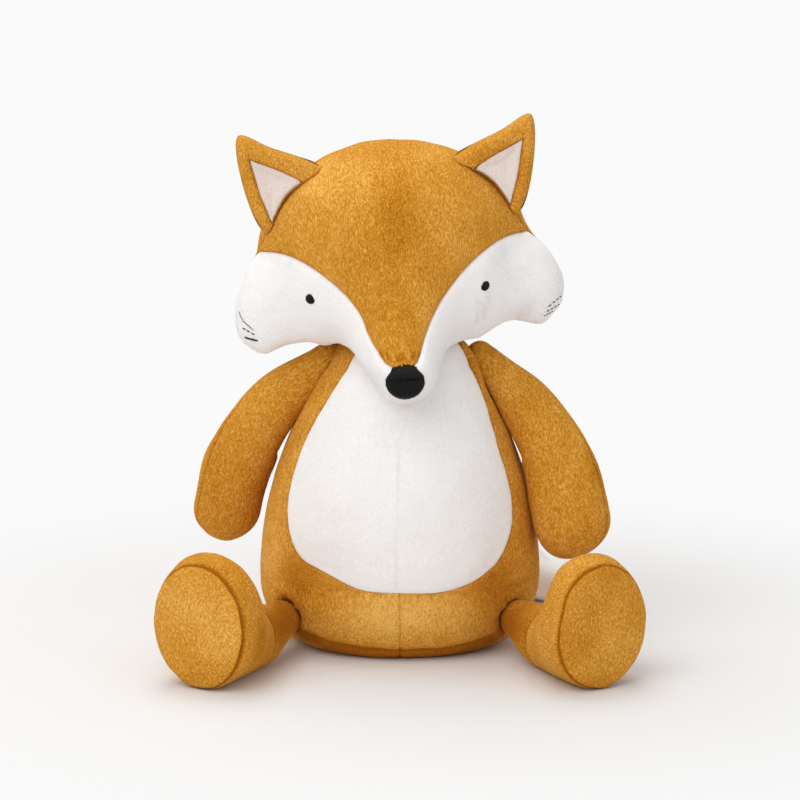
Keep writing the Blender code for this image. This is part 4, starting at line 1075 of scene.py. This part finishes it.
def mesh_object(name, vertices, faces, rest=None, shades=None, smooth=True):
    """A mesh object facing out, with its resting places and its painted shade and light kept as attributes.
    """
    data = bpy.data.meshes.new(name)
    data.from_pydata(vertices, [], faces)
    if rest is not None:
        kept = data.attributes.new("rest", "FLOAT_VECTOR", "POINT")
        kept.data.foreach_set("vector", np.asarray(rest, np.float32).ravel())
    if shades is not None:
        kept = data.attributes.new("shade", "FLOAT", "POINT")
        kept.data.foreach_set("value", np.asarray(shades, np.float32).ravel())
    item = bpy.data.objects.new(name, data)
    bpy.context.scene.collection.objects.link(item)
    tidy_mesh(data, smooth)
    return item


def tidy_mesh(data, smooth):
    """Join what lies together, drop what has no size and turn every face out."""
    bm = bmesh.new()
    bm.from_mesh(data)
    bmesh.ops.remove_doubles(bm, verts=bm.verts, dist=0.00002)
    bmesh.ops.dissolve_degenerate(bm, edges=bm.edges, dist=0.00001)
    bmesh.ops.recalc_face_normals(bm, faces=bm.faces)
    bm.to_mesh(data)
    bm.free()
    if smooth:
        data.shade_smooth()


# Materials

def linear(*colour):
    """Linear values of an sRGB colour given from 0 to 255."""
    shares = [c / 255 for c in colour]
    return tuple(c / 12.92 if c <= 0.04045 else ((c + 0.055) / 1.055) ** 2.4 for c in shares)


# The pile's textures, in counts to a metre: how its lay swirls, its tufts, its hairs and the patches it is
# brushed in, with the share of each in the colour
SWIRL = 0.006
SWIRL_SCALE = 60
TUFT_SCALE = 1350
HAIR_SCALE = 2600
BRUSH_SCALE = 24
TUFT_SHARE = 0.60
HAIR_SHARE = 0.40
BRUSH_SHARE = 0.45
# Share in the colour of the painted shade and light from the shade attribute
PILE_LAY_AND_PAINTED_LIGHT_SHARE = 0.35
BUMP_STRENGTH = 0.55
BUMP_HEIGHT = 0.0011


def add_node(tree, kind, inputs, **settings):
    """A shader node, its inputs set to values or linked from other nodes' outputs."""
    made = tree.nodes.new("ShaderNode" + kind)
    for key, value in settings.items():
        setattr(made, key, value)
    for key, value in inputs.items():
        if isinstance(value, bpy.types.NodeSocket):
            tree.links.new(value, made.inputs[key])
        else:
            made.inputs[key].default_value = value
    return made


def math_node(tree, operation, first, second):
    return add_node(tree, "Math", {0: first, 1: second}, operation=operation).outputs[0]


def new_material(name, roughness, specular):
    """A material with its tree of nodes and its shader."""
    material = bpy.data.materials.new(name)
    material.use_nodes = True
    shader = material.node_tree.nodes["Principled BSDF"]
    shader.inputs["Roughness"].default_value = roughness
    shader.inputs["Specular IOR Level"].default_value = specular
    return material, material.node_tree, shader


def pile_material(name, dark, base, pale, sheen=0.35, relief=1.0, contrast=1.7):
    """Short pile fabric: tufts of about 2 mm, finer hairs, patches brushed one way or another, and the
    painted shade and light of the shade attribute.
    """
    material, tree, shader = new_material(name, 0.92, 0.08)
    shader.inputs["Sheen Weight"].default_value = sheen
    shader.inputs["Sheen Roughness"].default_value = 0.3
    shader.inputs["Sheen Tint"].default_value = (*pale, 1)
    place = add_node(tree, "Attribute", {}, attribute_name="rest").outputs["Vector"]
    # Painted shade and painted light, kept on each panel's points
    shade = add_node(tree, "Attribute", {}, attribute_name="shade").outputs["Fac"]

    def texture(scale, source, detail=1.0, distortion=0.0, stretch=1.0):
        squeezed = add_node(tree, "VectorMath", {0: source, 1: (1, 1 / stretch, 1)}, operation="MULTIPLY")
        return add_node(tree, "TexNoise", {
            "Vector": squeezed.outputs["Vector"],
            "Scale": scale,
            "Detail": detail,
            "Roughness": 0.5,
            "Distortion": distortion,
        })

    swirl = texture(SWIRL_SCALE, place).outputs["Color"]
    swirled = add_node(
        tree, "VectorMath", {0: swirl, 1: (SWIRL, SWIRL, 0), 2: place}, operation="MULTIPLY_ADD")
    bent = swirled.outputs["Vector"]
    tufts = texture(TUFT_SCALE, bent, distortion=0.2, stretch=2.2).outputs["Fac"]
    hairs = texture(HAIR_SCALE, bent, distortion=0.2, stretch=2.4).outputs["Fac"]
    brushed = texture(BRUSH_SCALE, place, detail=2.0, distortion=0.5).outputs["Fac"]
    tuft_part = math_node(tree, "MULTIPLY", tufts, TUFT_SHARE)
    hair_part = math_node(tree, "MULTIPLY", hairs, HAIR_SHARE)
    pile = math_node(tree, "ADD", tuft_part, hair_part)
    mixed = math_node(tree, "MULTIPLY", math_node(tree, "SUBTRACT", pile, 0.5), contrast)
    patch = math_node(tree, "MULTIPLY", math_node(tree, "SUBTRACT", brushed, 0.5), BRUSH_SHARE)
    lay_and_light_part = math_node(tree, "MULTIPLY", shade, PILE_LAY_AND_PAINTED_LIGHT_SHARE)
    total = math_node(tree, "ADD", math_node(tree, "ADD", mixed, patch), lay_and_light_part)

    ramp = add_node(tree, "ValToRGB", {"Fac": math_node(tree, "ADD", total, 0.5)})
    stops = ramp.color_ramp.elements
    for stop, position, colour in ((stops[0], 0.10, dark), (stops[1], 0.90, pale)):
        stop.position = position
        stop.color = (*colour, 1)
    stops.new(0.5).color = (*base, 1)
    tree.links.new(ramp.outputs["Color"], shader.inputs["Base Color"])
    bump = add_node(
        tree, "Bump", {"Strength": BUMP_STRENGTH * relief, "Distance": BUMP_HEIGHT, "Height": pile})
    tree.links.new(bump.outputs["Normal"], shader.inputs["Normal"])
    return material


def thread_material():
    material, _, shader = new_material("black_thread", 0.5, 0.22)
    shader.inputs["Base Color"].default_value = (0.0026, 0.0027, 0.0031, 1)
    return material


SLOTS = {
    "mustard_pile": pile_material(
        "mustard_pile", linear(166, 98, 14), linear(209, 143, 44), linear(242, 190, 102), sheen=0.22),
    "white_pile": pile_material(
        "white_pile", linear(236, 233, 231), linear(249, 247, 246), linear(255, 255, 255), sheen=0.1,
        contrast=1.1),
    "ear_velour": pile_material(
        "ear_velour", linear(204, 188, 180), linear(229, 216, 209), linear(243, 234, 229), sheen=0.1,
        relief=0.5, contrast=1.0),
    "base_cloth": pile_material(
        "base_cloth", linear(140, 82, 16), linear(186, 124, 42), linear(216, 156, 72)),
    "black_thread": thread_material(),
}


def dress(item, slot, body, nodes, across=None):
    """Give a piece its finish and the body it moves with, or where it spans a body and a limb bake it where
    it stands, and hide the CAD solids it stands for.
    """
    item.data.materials.clear()
    item.data.materials.append(SLOTS[slot])
    if across:
        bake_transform(item)
    else:
        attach(item, body)
    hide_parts(*nodes)


# How full most of the panels are of their stuffing
FILL = 0.9


def sewn(name, slot, body, surface, rows, columns, cell, seams, hidden=(), fill=FILL, across=None, **look):
    """A dressed panel, which also stands for the pieces hidden under it."""
    made = panel(name, surface, rows, columns, cell, seams, **look)
    dress(made, slot, body, [name, *hidden], across=across)
    return made


# The toy's panels

TORSO_CELL = 0.0028
HEAD_CELL = 0.0026
LIMB_CELL = 0.0026
EAR_CELL = 0.0019
BASE_CELL = 0.004

CHEEKS = {}


def build_torso():
    for side_name, side in SIDES:
        surface = torso_surface(side)
        hidden = {"left": ["torso_stuffing"], "right": ["pellet_bag"]}[side_name]
        sewn(
            "belly_" + side_name, "white_pile", "torso", surface, (ROW_OPENING, ROW_BELLY_LOW),
            (0, BELLY_COLUMNS), TORSO_CELL, ("first_column", "last_column"), seam_depth=0.0010,
            seam_width=0.0034, dark=0.25, depths={"first_column": 0.0002}, flush=("first_column",))
        sewn(
            "front_" + side_name, "mustard_pile", "torso", surface, (ROW_OPENING, ROW_RIM),
            (BELLY_COLUMNS, COLUMN_SIDE), TORSO_CELL, ("first_column", "last_column", "last_row"),
            depths={"first_column": 0.0008}, dark=0.5, corner=ROW_BELLY_LOW)
        sewn(
            "back_" + side_name, "mustard_pile", "torso", surface, (ROW_OPENING, ROW_RIM),
            (COLUMN_SIDE, COLUMN_BACK), TORSO_CELL, ("first_column", "last_column", "last_row"), hidden)

    def base(row, column, depth):
        found = base_direction(column) * ((BASE_WIDTH / 2 - SEAM_GAP) * row)[..., None]
        found[..., 2] = np.maximum(depth, 0)
        return found

    sewn(
        "base_panel", "base_cloth", "torso", base, (0, 1), (-COLUMN_BACK, COLUMN_BACK), BASE_CELL,
        ("last_row",), fill=0.8, lump=0.0)


def build_head():
    face_rows = (ROW_NOSE_RING, ROW_FACE_EDGE)
    for side_name, side in SIDES:
        surface = head_surface(side)
        CHEEKS[side_name] = sewn(
            "cheek_" + side_name, "white_pile", "head", surface, face_rows, (CROWN_COLUMNS, COLUMN_CHIN),
            HEAD_CELL, ("first_column", "last_row"), seam_width=0.0045, dark=0.3)
        hidden = {"left": ["head_stuffing"], "right": []}[side_name]
        sewn(
            "head_back_" + side_name, "mustard_pile", "head", surface, (ROW_FACE_EDGE, ROW_HEAD_END),
            (0, COLUMN_CHIN), HEAD_CELL, ("first_row", "first_column"), hidden)
    sewn(
        "crown_gusset", "mustard_pile", "head", head_surface(1), face_rows, (-CROWN_COLUMNS, CROWN_COLUMNS),
        HEAD_CELL, ("first_column", "last_column", "last_row"), seam_width=0.0045, dark=0.25)


# Two places on each limb, from one by the body to one out along the limb, passed with the pieces that span
# both
EAR_BEND_START = -0.002
EAR_BEND_SHARE = 0.35
ARM_BEND = ((0.006, 0, 0.004), (0.012, 0, -0.022))
LEG_BEND = (-0.006, 0.016)
TAIL_BEND = (0.002, 0.022, 0)


def build_ears():
    for side_name, side in SIDES:
        frame_of_ear = HEAD_FRAME @ ear_frame(side)
        base = frame_of_ear @ Vector((0, 0, EAR_BEND_START))
        top = frame_of_ear @ Vector((0, 0, EAR_HEIGHT * EAR_BEND_SHARE))
        shared = {"across": ("head", "ear_" + side_name, base, top), "wrap": True, "upright": True}
        front = ear_surface(side, -1)
        sewn(
            "ear_lining_" + side_name, "ear_velour", None, front, (0, LINING_SHARE), (0, 1), EAR_CELL,
            ("last_row",), fill=0.7, lump=0.6, seam_depth=0.0009, seam_width=0.0028, **shared)
        sewn(
            "ear_rim_" + side_name, "mustard_pile", None, front, (LINING_SHARE, 1), (0, 1), EAR_CELL,
            ("first_row",), fill=0.8, lump=0.5, seam_depth=0.0011, seam_width=0.0028, **shared)
        sewn(
            "ear_back_" + side_name, "mustard_pile", None, ear_surface(side, 1), (0, 1), (0, 1), EAR_CELL,
            (), fill=0.8, lump=0.6, **shared)


# How far the arms' seams have rolled round toward the front near the hand, in lattice columns
ARM_SEAM_ROLL = {"left": 1.25, "right": -0.8}
ROW_ROLL_FIRST = 3.5
ROW_ROLL_LAST = 7.5


def build_arms():
    half = ARM_COLUMNS / 2
    rows = (0, 2 * CAP_ROWS + ARM_ROWS)
    for side_name, side in SIDES:
        frame_of_arm = arm_frame(side_name, side)
        round_arm = arm_surface(side_name, side)
        roll = ARM_SEAM_ROLL[side_name]

        def surface(row, column, depth, round_arm=round_arm, roll=roll):
            return round_arm(row, column + roll * fade(row, ROW_ROLL_FIRST, ROW_ROLL_LAST), depth)

        start, end = (frame_of_arm @ Vector(place) for place in ARM_BEND)
        across = ("torso", "arm_" + side_name, start, end)
        first, second = ("front", "back") if side < 0 else ("back", "front")
        for part, columns in ((first, (0, half)), (second, (half, 2 * half))):
            hidden = {"front": [], "back": ["arm_%s_stuffing" % side_name]}[part]
            sewn(
                "arm_%s_%s" % (side_name, part), "mustard_pile", None, surface, rows, columns, LIMB_CELL,
                ("first_column", "last_column"), hidden, across=across, seam_depth=0.0013, dark=0.4)


# Gathers round the sole and folds round the ankle: their number, depth, place and width
SOLE_GATHERS = 11
SOLE_GATHER_DEPTH = 0.0007
SOLE_GATHER_PLACE = 0.0045
SOLE_GATHER_WIDTH = 0.0026
ANKLE_FOLDS = 7
ANKLE_FOLD_DEPTH = 0.0009
ANKLE_FOLD_WIDTH = 0.010


def ankle_folds(points, row, column, gaps):
    wave = np.sin(math.tau * column / LEG_COLUMNS * ANKLE_FOLDS) * 0.5 + 0.5
    return -ANKLE_FOLD_DEPTH * wave * np.exp(-((gaps["last_row"] / ANKLE_FOLD_WIDTH) ** 2))


def build_legs():
    ankle = CAP_ROWS + LEG_ROWS // 2
    rim = CAP_ROWS + LEG_ROWS
    around = (0, LEG_COLUMNS)
    for side_name, side in SIDES:
        surface = leg_surface(side)
        root = Vector(hip_centre(side))
        ahead = Matrix.Rotation(side * LEG_SPLAY, 3, "Z") @ Vector((0, -1, 0))
        start, end = (root + ahead * away for away in LEG_BEND)

        def sole_gathers(points, row, column, gaps, side=side):
            wave = np.cos(math.tau * column / LEG_COLUMNS * SOLE_GATHERS + 2 * side) * 0.5 + 0.5
            away = (gaps["first_row"] - SOLE_GATHER_PLACE) / SOLE_GATHER_WIDTH
            return -SOLE_GATHER_DEPTH * wave * np.exp(-(away**2))

        leg = "leg_%s" % side_name
        sewn(
            leg + "_tube", "mustard_pile", None, surface, (0, ankle), around, LIMB_CELL, ("last_row",),
            [leg + "_stuffing"], across=("torso", leg, start, end), wrap=True, seam_depth=0.0022,
            wave=ankle_folds)
        sewn(
            leg + "_foot", "mustard_pile", leg, surface, (ankle, rim), around, LIMB_CELL,
            ("first_row", "last_row"), wrap=True, depths={"last_row": 0.0024}, seam_width=0.0055, dark=1.6)
        sewn(
            leg + "_sole", "mustard_pile", leg, surface, (rim, rim + CAP_ROWS), around, LIMB_CELL,
            ("first_row",), wrap=True, wave=sole_gathers, upright=True, seam_depth=0.0024,
            seam_width=0.0050, dark=2.4)


def build_tail():
    surface = tail_surface()
    seam = CAP_ROWS + TAIL_ROWS - 1
    last = 2 * CAP_ROWS + TAIL_ROWS
    around = (0, TAIL_COLUMNS)
    root = Vector(tail_root())
    sewn(
        "tail_base", "mustard_pile", None, surface, (0, seam), around, LIMB_CELL, ("last_row",),
        ["tail_stuffing"], across=("torso", "tail", root, root + Vector(TAIL_BEND)), wrap=True)
    sewn(
        "tail_tip", "white_pile", "tail", surface, (seam, last), around, LIMB_CELL, ("first_row",),
        wrap=True)


WAD_ANGLE = math.radians(40)
WAD_RINGS = 12
WAD_SPOKES = 48


def build_neck():
    """The covered wad of filling between torso and head, hidden unless the head nods far."""
    inner = NECK_RADIUS + JOINT_GAP
    outer = inner + WAD_THICKNESS
    vertices = []
    for radius, order in ((outer, range(WAD_RINGS + 1)), (inner, range(WAD_RINGS, -1, -1))):
        for k in order:
            low = WAD_ANGLE * k / WAD_RINGS
            for j in range(WAD_SPOKES):
                turn = math.tau * j / WAD_SPOKES
                vertices.append((
                    radius * math.sin(low) * math.cos(turn),
                    radius * math.sin(low) * math.sin(turn),
                    NECK_HEIGHT + radius * math.cos(low),
                ))
    faces = grid_faces(2 * (WAD_RINGS + 1), WAD_SPOKES)
    wad = mesh_object("neck_wad", vertices, faces, rest=vertices, shades=[0.0] * len(vertices))
    dress(wad, "mustard_pile", "neck", ["neck_wad"])


# The stitched face

def tube(points, radius, sides=6):
    """Vertices and faces of a thread along points, with a radius at each point."""
    points = np.asarray(points, float)
    radius = np.broadcast_to(np.asarray(radius, float), len(points))
    ahead = unit(np.gradient(points, axis=0))
    helper = np.array((0.0, 0.0, 1.0)) if abs(ahead[0][2]) < 0.9 else np.array((1.0, 0.0, 0.0))
    first = unit(np.cross(ahead, helper))
    second = np.cross(ahead, first)
    vertices = []
    for p, a, b, r in zip(points, first, second, radius):
        for k in range(sides):
            turn = math.tau * k / sides
            vertices.append(p + (a * math.cos(turn) + b * math.sin(turn)) * r)
    faces = grid_faces(len(points), sides)
    faces.append(tuple(reversed(range(sides))))
    end = (len(points) - 1) * sides
    faces.append(tuple(range(end, end + sides)))
    return vertices, faces


def joined(parts):
    vertices, faces = [], []
    for v, f in parts:
        start = len(vertices)
        vertices.extend(v)
        faces.extend(tuple(i + start for i in face) for face in f)
    return vertices, faces


# Satin stitches: in shares, how near they come to a pad's side, how uneven they are and how thick
STITCH_EDGE_SHARE = 0.985
STITCH_RAGGED_SHARE = 0.10
STITCH_WANDER_SHARE = 0.35
STITCH_RADIUS_SHARE = 0.62
STITCH_OVERRUN = 0.0002
STITCH_LIFT = 0.00010
STITCH_UNEVEN = 0.00012
STITCH_SINK = 0.0009
STITCH_STEPS = 15
GROUND_SHARE = 0.97
GROUND_RINGS = 7
GROUND_SPOKES = 28
GROUND_LIFT = -0.00012
GROUND_SINK = -0.0012


def stitch_ground(half_width, half_height, lifted):
    """The black ground under the stitches, with its edge turned down into the face."""
    flat = []
    for i in range(GROUND_RINGS + 1):
        for j in range(GROUND_SPOKES):
            a = math.tau * j / GROUND_SPOKES
            r = i / GROUND_RINGS * GROUND_SHARE
            flat.append((r * half_width * math.cos(a), r * half_height * math.sin(a)))
    flat = np.array(flat)
    top = lifted(flat[:, 0], flat[:, 1], GROUND_LIFT)
    under = lifted(flat[-GROUND_SPOKES:, 0], flat[-GROUND_SPOKES:, 1], GROUND_SINK)
    return list(np.concatenate((top, under))), grid_faces(GROUND_RINGS + 2, GROUND_SPOKES)


def stitched_pad(name, toward, half_width, half_height, dome, pitch, seed, tilt=0.0):
    """A pad of satin stitches on the face: upright threads side by side over a black ground."""
    centre = head_along(toward, np.array(0.0))
    level = unit(np.cross(np.array((0.0, 0.0, 1.0)), toward))
    plumb = np.cross(toward, level)
    across = level * math.cos(tilt) + plumb * math.sin(tilt)
    upward = plumb * math.cos(tilt) - level * math.sin(tilt)

    def lifted(x, y, extra):
        spot = centre + across * x[..., None] + upward * y[..., None]
        share = np.clip(1 - (x / half_width) ** 2 - (y / half_height) ** 2, 0, 1)
        return head_along(unit(spot), -(SEAT_GAP + dome * np.sqrt(share) + extra))

    parts = []
    t = np.linspace(0, 1, STITCH_STEPS)
    for k in range(int(2 * half_width / pitch) + 1):
        x = -half_width + pitch / 2 + k * pitch
        if abs(x) >= half_width * STITCH_EDGE_SHARE:
            continue
        jitter = [noise.noise(Vector((k * 3.7 + seed, m * 5.1, 0.3))) for m in range(4)]
        reach = half_height * math.sqrt(1 - (x / half_width) ** 2)
        top = reach * (1 + STITCH_RAGGED_SHARE * jitter[0]) + STITCH_OVERRUN
        low = -reach * (1 + STITCH_RAGGED_SHARE * jitter[1]) - STITCH_OVERRUN
        wander = x + pitch * STITCH_WANDER_SHARE * jitter[2] * np.sin(t * 3)
        line = lifted(wander, low + (top - low) * t, STITCH_LIFT + STITCH_UNEVEN * jitter[3])
        sink = np.where((t < 0.02) | (t > 0.98), STITCH_SINK, 0.0)
        line = line - unit(line) * sink[..., None]
        parts.append(tube(line, pitch * STITCH_RADIUS_SHARE))
    parts.append(stitch_ground(half_width, half_height, lifted))
    vertices, faces = joined(parts)
    vertices = moved(np.array(vertices), HEAD_FRAME)
    item = mesh_object(name, [tuple(v) for v in vertices], faces)
    dress(item, "black_thread", "head", [name])


# The pads' half width and height, how far they stand out, and the threads' pitch
NOSE_PAD = (0.01075, 0.00905, 0.0024, 0.00056)
EYE_PAD = (0.0022, 0.0026, 0.0007, 0.00042)
EYE_TILT = math.radians(-24)
EYE_SPACING = 0.0955
EYE_DROP = 0.0178


def build_face():
    nose = MUZZLE_AXIS * math.cos(NOSE_DROP_ANGLE) - MUZZLE_UP * math.sin(NOSE_DROP_ANGLE)
    stitched_pad("nose", nose, *NOSE_PAD, seed=1.0)
    for side_name, side in SIDES:
        spot = face_spot(side * EYE_SPACING / 2, EYE_DROP)
        stitched_pad("eye_" + side_name, unit(spot), *EYE_PAD, seed=5.0 + side, tilt=EYE_TILT * side)


def face_spot(across, drop):
    """The point of the face in front of a place given across and below the head's middle."""
    low, high = -RAY_REACH, 0.0
    for _ in range(HALVINGS + 4):
        middle = (low + high) / 2
        if head_distance(np.array((across, middle, -drop))) > 0:
            low = middle
        else:
            high = middle
    return np.array((across, low, -drop))


# Threads of the whiskers, from end to end in the photograph's pixels, with their radius and dashes
WHISKERS = (
    ("whisker_left_1", ((239, 311), (243, 320.5), (254, 330.5)), 0.00019, 1),
    ("whisker_left_2", ((243, 328), (249, 331.5), (255, 335)), 0.00032, 3),
    ("whisker_left_3", ((245, 337), (251, 339), (258, 340.5)), 0.00048, 1),
    ("whisker_right_1", ((561, 296), (555, 301), (548, 307)), 0.00026, 4),
    ("whisker_right_2", ((559, 304), (553, 308), (546.5, 311.5)), 0.00026, 4),
    ("whisker_right_3", ((552.5, 311), (548, 313.8), (543.5, 316)), 0.00026, 4),
)


# How a thread tapers: angles left off its ends, its fullness and its thinnest share
THREAD_END = 0.15
THREAD_BODY = 1.6
THREAD_TIP_SHARE = 0.2
THREAD_RISE_SHARE = 0.7
THREAD_STEPS = 25


def build_whiskers():
    trees = {}
    for side_name in CHEEKS:
        data = CHEEKS[side_name].data
        trees[side_name] = BVHTree.FromPolygons(
            [v.co for v in data.vertices], [tuple(p.vertices) for p in data.polygons])
    for name, line, radius, dashes in WHISKERS:
        tree = trees[name.split("_")[1]]
        found = []
        for across, down in curve_at(line, np.linspace(0, 1, THREAD_STEPS)):
            hit = tree.ray_cast(Vector(CAMERA_PLACE), Vector(sight(across, down)))
            if hit[0] is not None:
                outward = hit[1] if hit[1].dot(Vector(CAMERA_FORWARD)) < 0 else -hit[1]
                found.append(np.array(hit[0] + outward * radius * THREAD_RISE_SHARE))
        parts = []
        found = np.array(found)
        each = len(found) / dashes
        for k in range(dashes):
            piece = found[int(k * each):int((k + 1) * each) - (1 if dashes > 1 else 0)]
            if len(piece) > 1:
                along = np.linspace(THREAD_END, math.pi - THREAD_END, len(piece))
                size = radius * np.sqrt(np.clip(np.sin(along) * THREAD_BODY, THREAD_TIP_SHARE, 1))
                parts.append(tube(piece, size))
        vertices, faces = joined(parts)
        item = mesh_object(name, [tuple(v) for v in vertices], faces)
        dress(item, "black_thread", "head", [name])


build_torso()
build_neck()
build_head()
build_ears()
build_arms()
build_legs()
build_tail()
build_face()
build_whiskers()


# Floor, light and camera

FLOOR_REACH = 30.0
FLOOR_COLOUR = (0.82, 0.818, 0.815, 1)
# Where the floor goes over into the white of the studio, and that white's strength
FADE_NEAR = 0.15
FADE_FAR = 0.44
STUDIO_WHITE = 0.955
STUDIO_LIGHT = 0.50


def seen_directly(tree):
    """A value of 1 for what the camera sees, itself or in glossy or clear surfaces, and 0 for light."""
    path = add_node(tree, "LightPath", {}).outputs
    found = math_node(tree, "MAXIMUM", path["Is Camera Ray"], path["Is Glossy Ray"])
    return math_node(tree, "MAXIMUM", found, path["Is Transmission Ray"])


def build_floor():
    """A pale floor that keeps the toy's shadow, and fades into white away from it."""
    corners = ((-1, -1), (1, -1), (1, 1), (-1, 1))
    vertices = [(FLOOR_REACH * across, FLOOR_REACH * back, 0.0) for across, back in corners]
    floor = mesh_object("floor", vertices, [(0, 1, 2, 3)])
    material, tree, shader = new_material("floor", 0.9, 0.1)
    shader.inputs["Base Color"].default_value = FLOOR_COLOUR
    place = add_node(tree, "TexCoord", {}).outputs["Object"]
    distance = add_node(tree, "VectorMath", {0: place}, operation="LENGTH").outputs["Value"]
    fading = add_node(
        tree, "MapRange", {"Value": distance, "From Min": FADE_NEAR, "From Max": FADE_FAR},
        interpolation_type="SMOOTHSTEP")
    share = math_node(tree, "MULTIPLY", fading.outputs["Result"], seen_directly(tree))
    white = add_node(tree, "Emission", {"Strength": STUDIO_WHITE}).outputs["Emission"]
    mixed = add_node(tree, "MixShader", {"Fac": share, 1: shader.outputs["BSDF"], 2: white})
    tree.links.new(mixed.outputs["Shader"], tree.nodes["Material Output"].inputs["Surface"])
    floor.data.materials.append(material)


def build_world():
    """White where the camera sees it, and a plain soft light otherwise."""
    world = bpy.data.worlds.new("studio")
    world.use_nodes = True
    tree = world.node_tree
    strength = add_node(
        tree, "MapRange", {"Value": seen_directly(tree), "To Min": STUDIO_LIGHT, "To Max": STUDIO_WHITE})
    background = tree.nodes["Background"]
    background.inputs["Color"].default_value = (1.0, 1.0, 1.0, 1)
    tree.links.new(strength.outputs["Result"], background.inputs["Strength"])
    bpy.context.scene.world = world


def add_light(name, place, aim, size, power, colour):
    data = bpy.data.lights.new(name, "AREA")
    data.shape = "DISK"
    data.size = size
    data.energy = power
    data.color = colour
    item = bpy.data.objects.new(name, data)
    item.location = place
    item.rotation_mode = "QUATERNION"
    item.rotation_quaternion = (Vector(aim) - Vector(place)).to_track_quat("-Z", "Y")
    bpy.context.scene.collection.objects.link(item)


def build_light():
    add_light("key", (-0.75, -1.15, 1.4), (0, 0, 0.12), 1.9, 16.9, (1.0, 0.99, 0.975))
    add_light("top", (-0.15, 0.40, 1.45), (0, -0.05, 0.10), 1.1, 9.0, (1.0, 0.995, 0.99))
    add_light("fill", (1.3, -1.3, 0.8), (0, 0, 0.12), 1.4, 3.4, (0.98, 0.99, 1.0))


def build_camera():
    data = bpy.data.cameras.new("camera")
    data.lens = PHOTO_FOCUS / PHOTO_SIZE * SENSOR
    data.sensor_width = SENSOR
    data.clip_start = 0.05
    data.clip_end = 20
    item = bpy.data.objects.new("camera", data)
    item.location = Vector(CAMERA_PLACE)
    item.rotation_mode = "QUATERNION"
    item.rotation_quaternion = Vector(CAMERA_FORWARD).to_track_quat("-Z", "Y")
    bpy.context.scene.collection.objects.link(item)
    bpy.context.scene.camera = item


build_floor()
build_world()
build_light()
build_camera()
bpy.context.scene.view_settings.view_transform = "Standard"
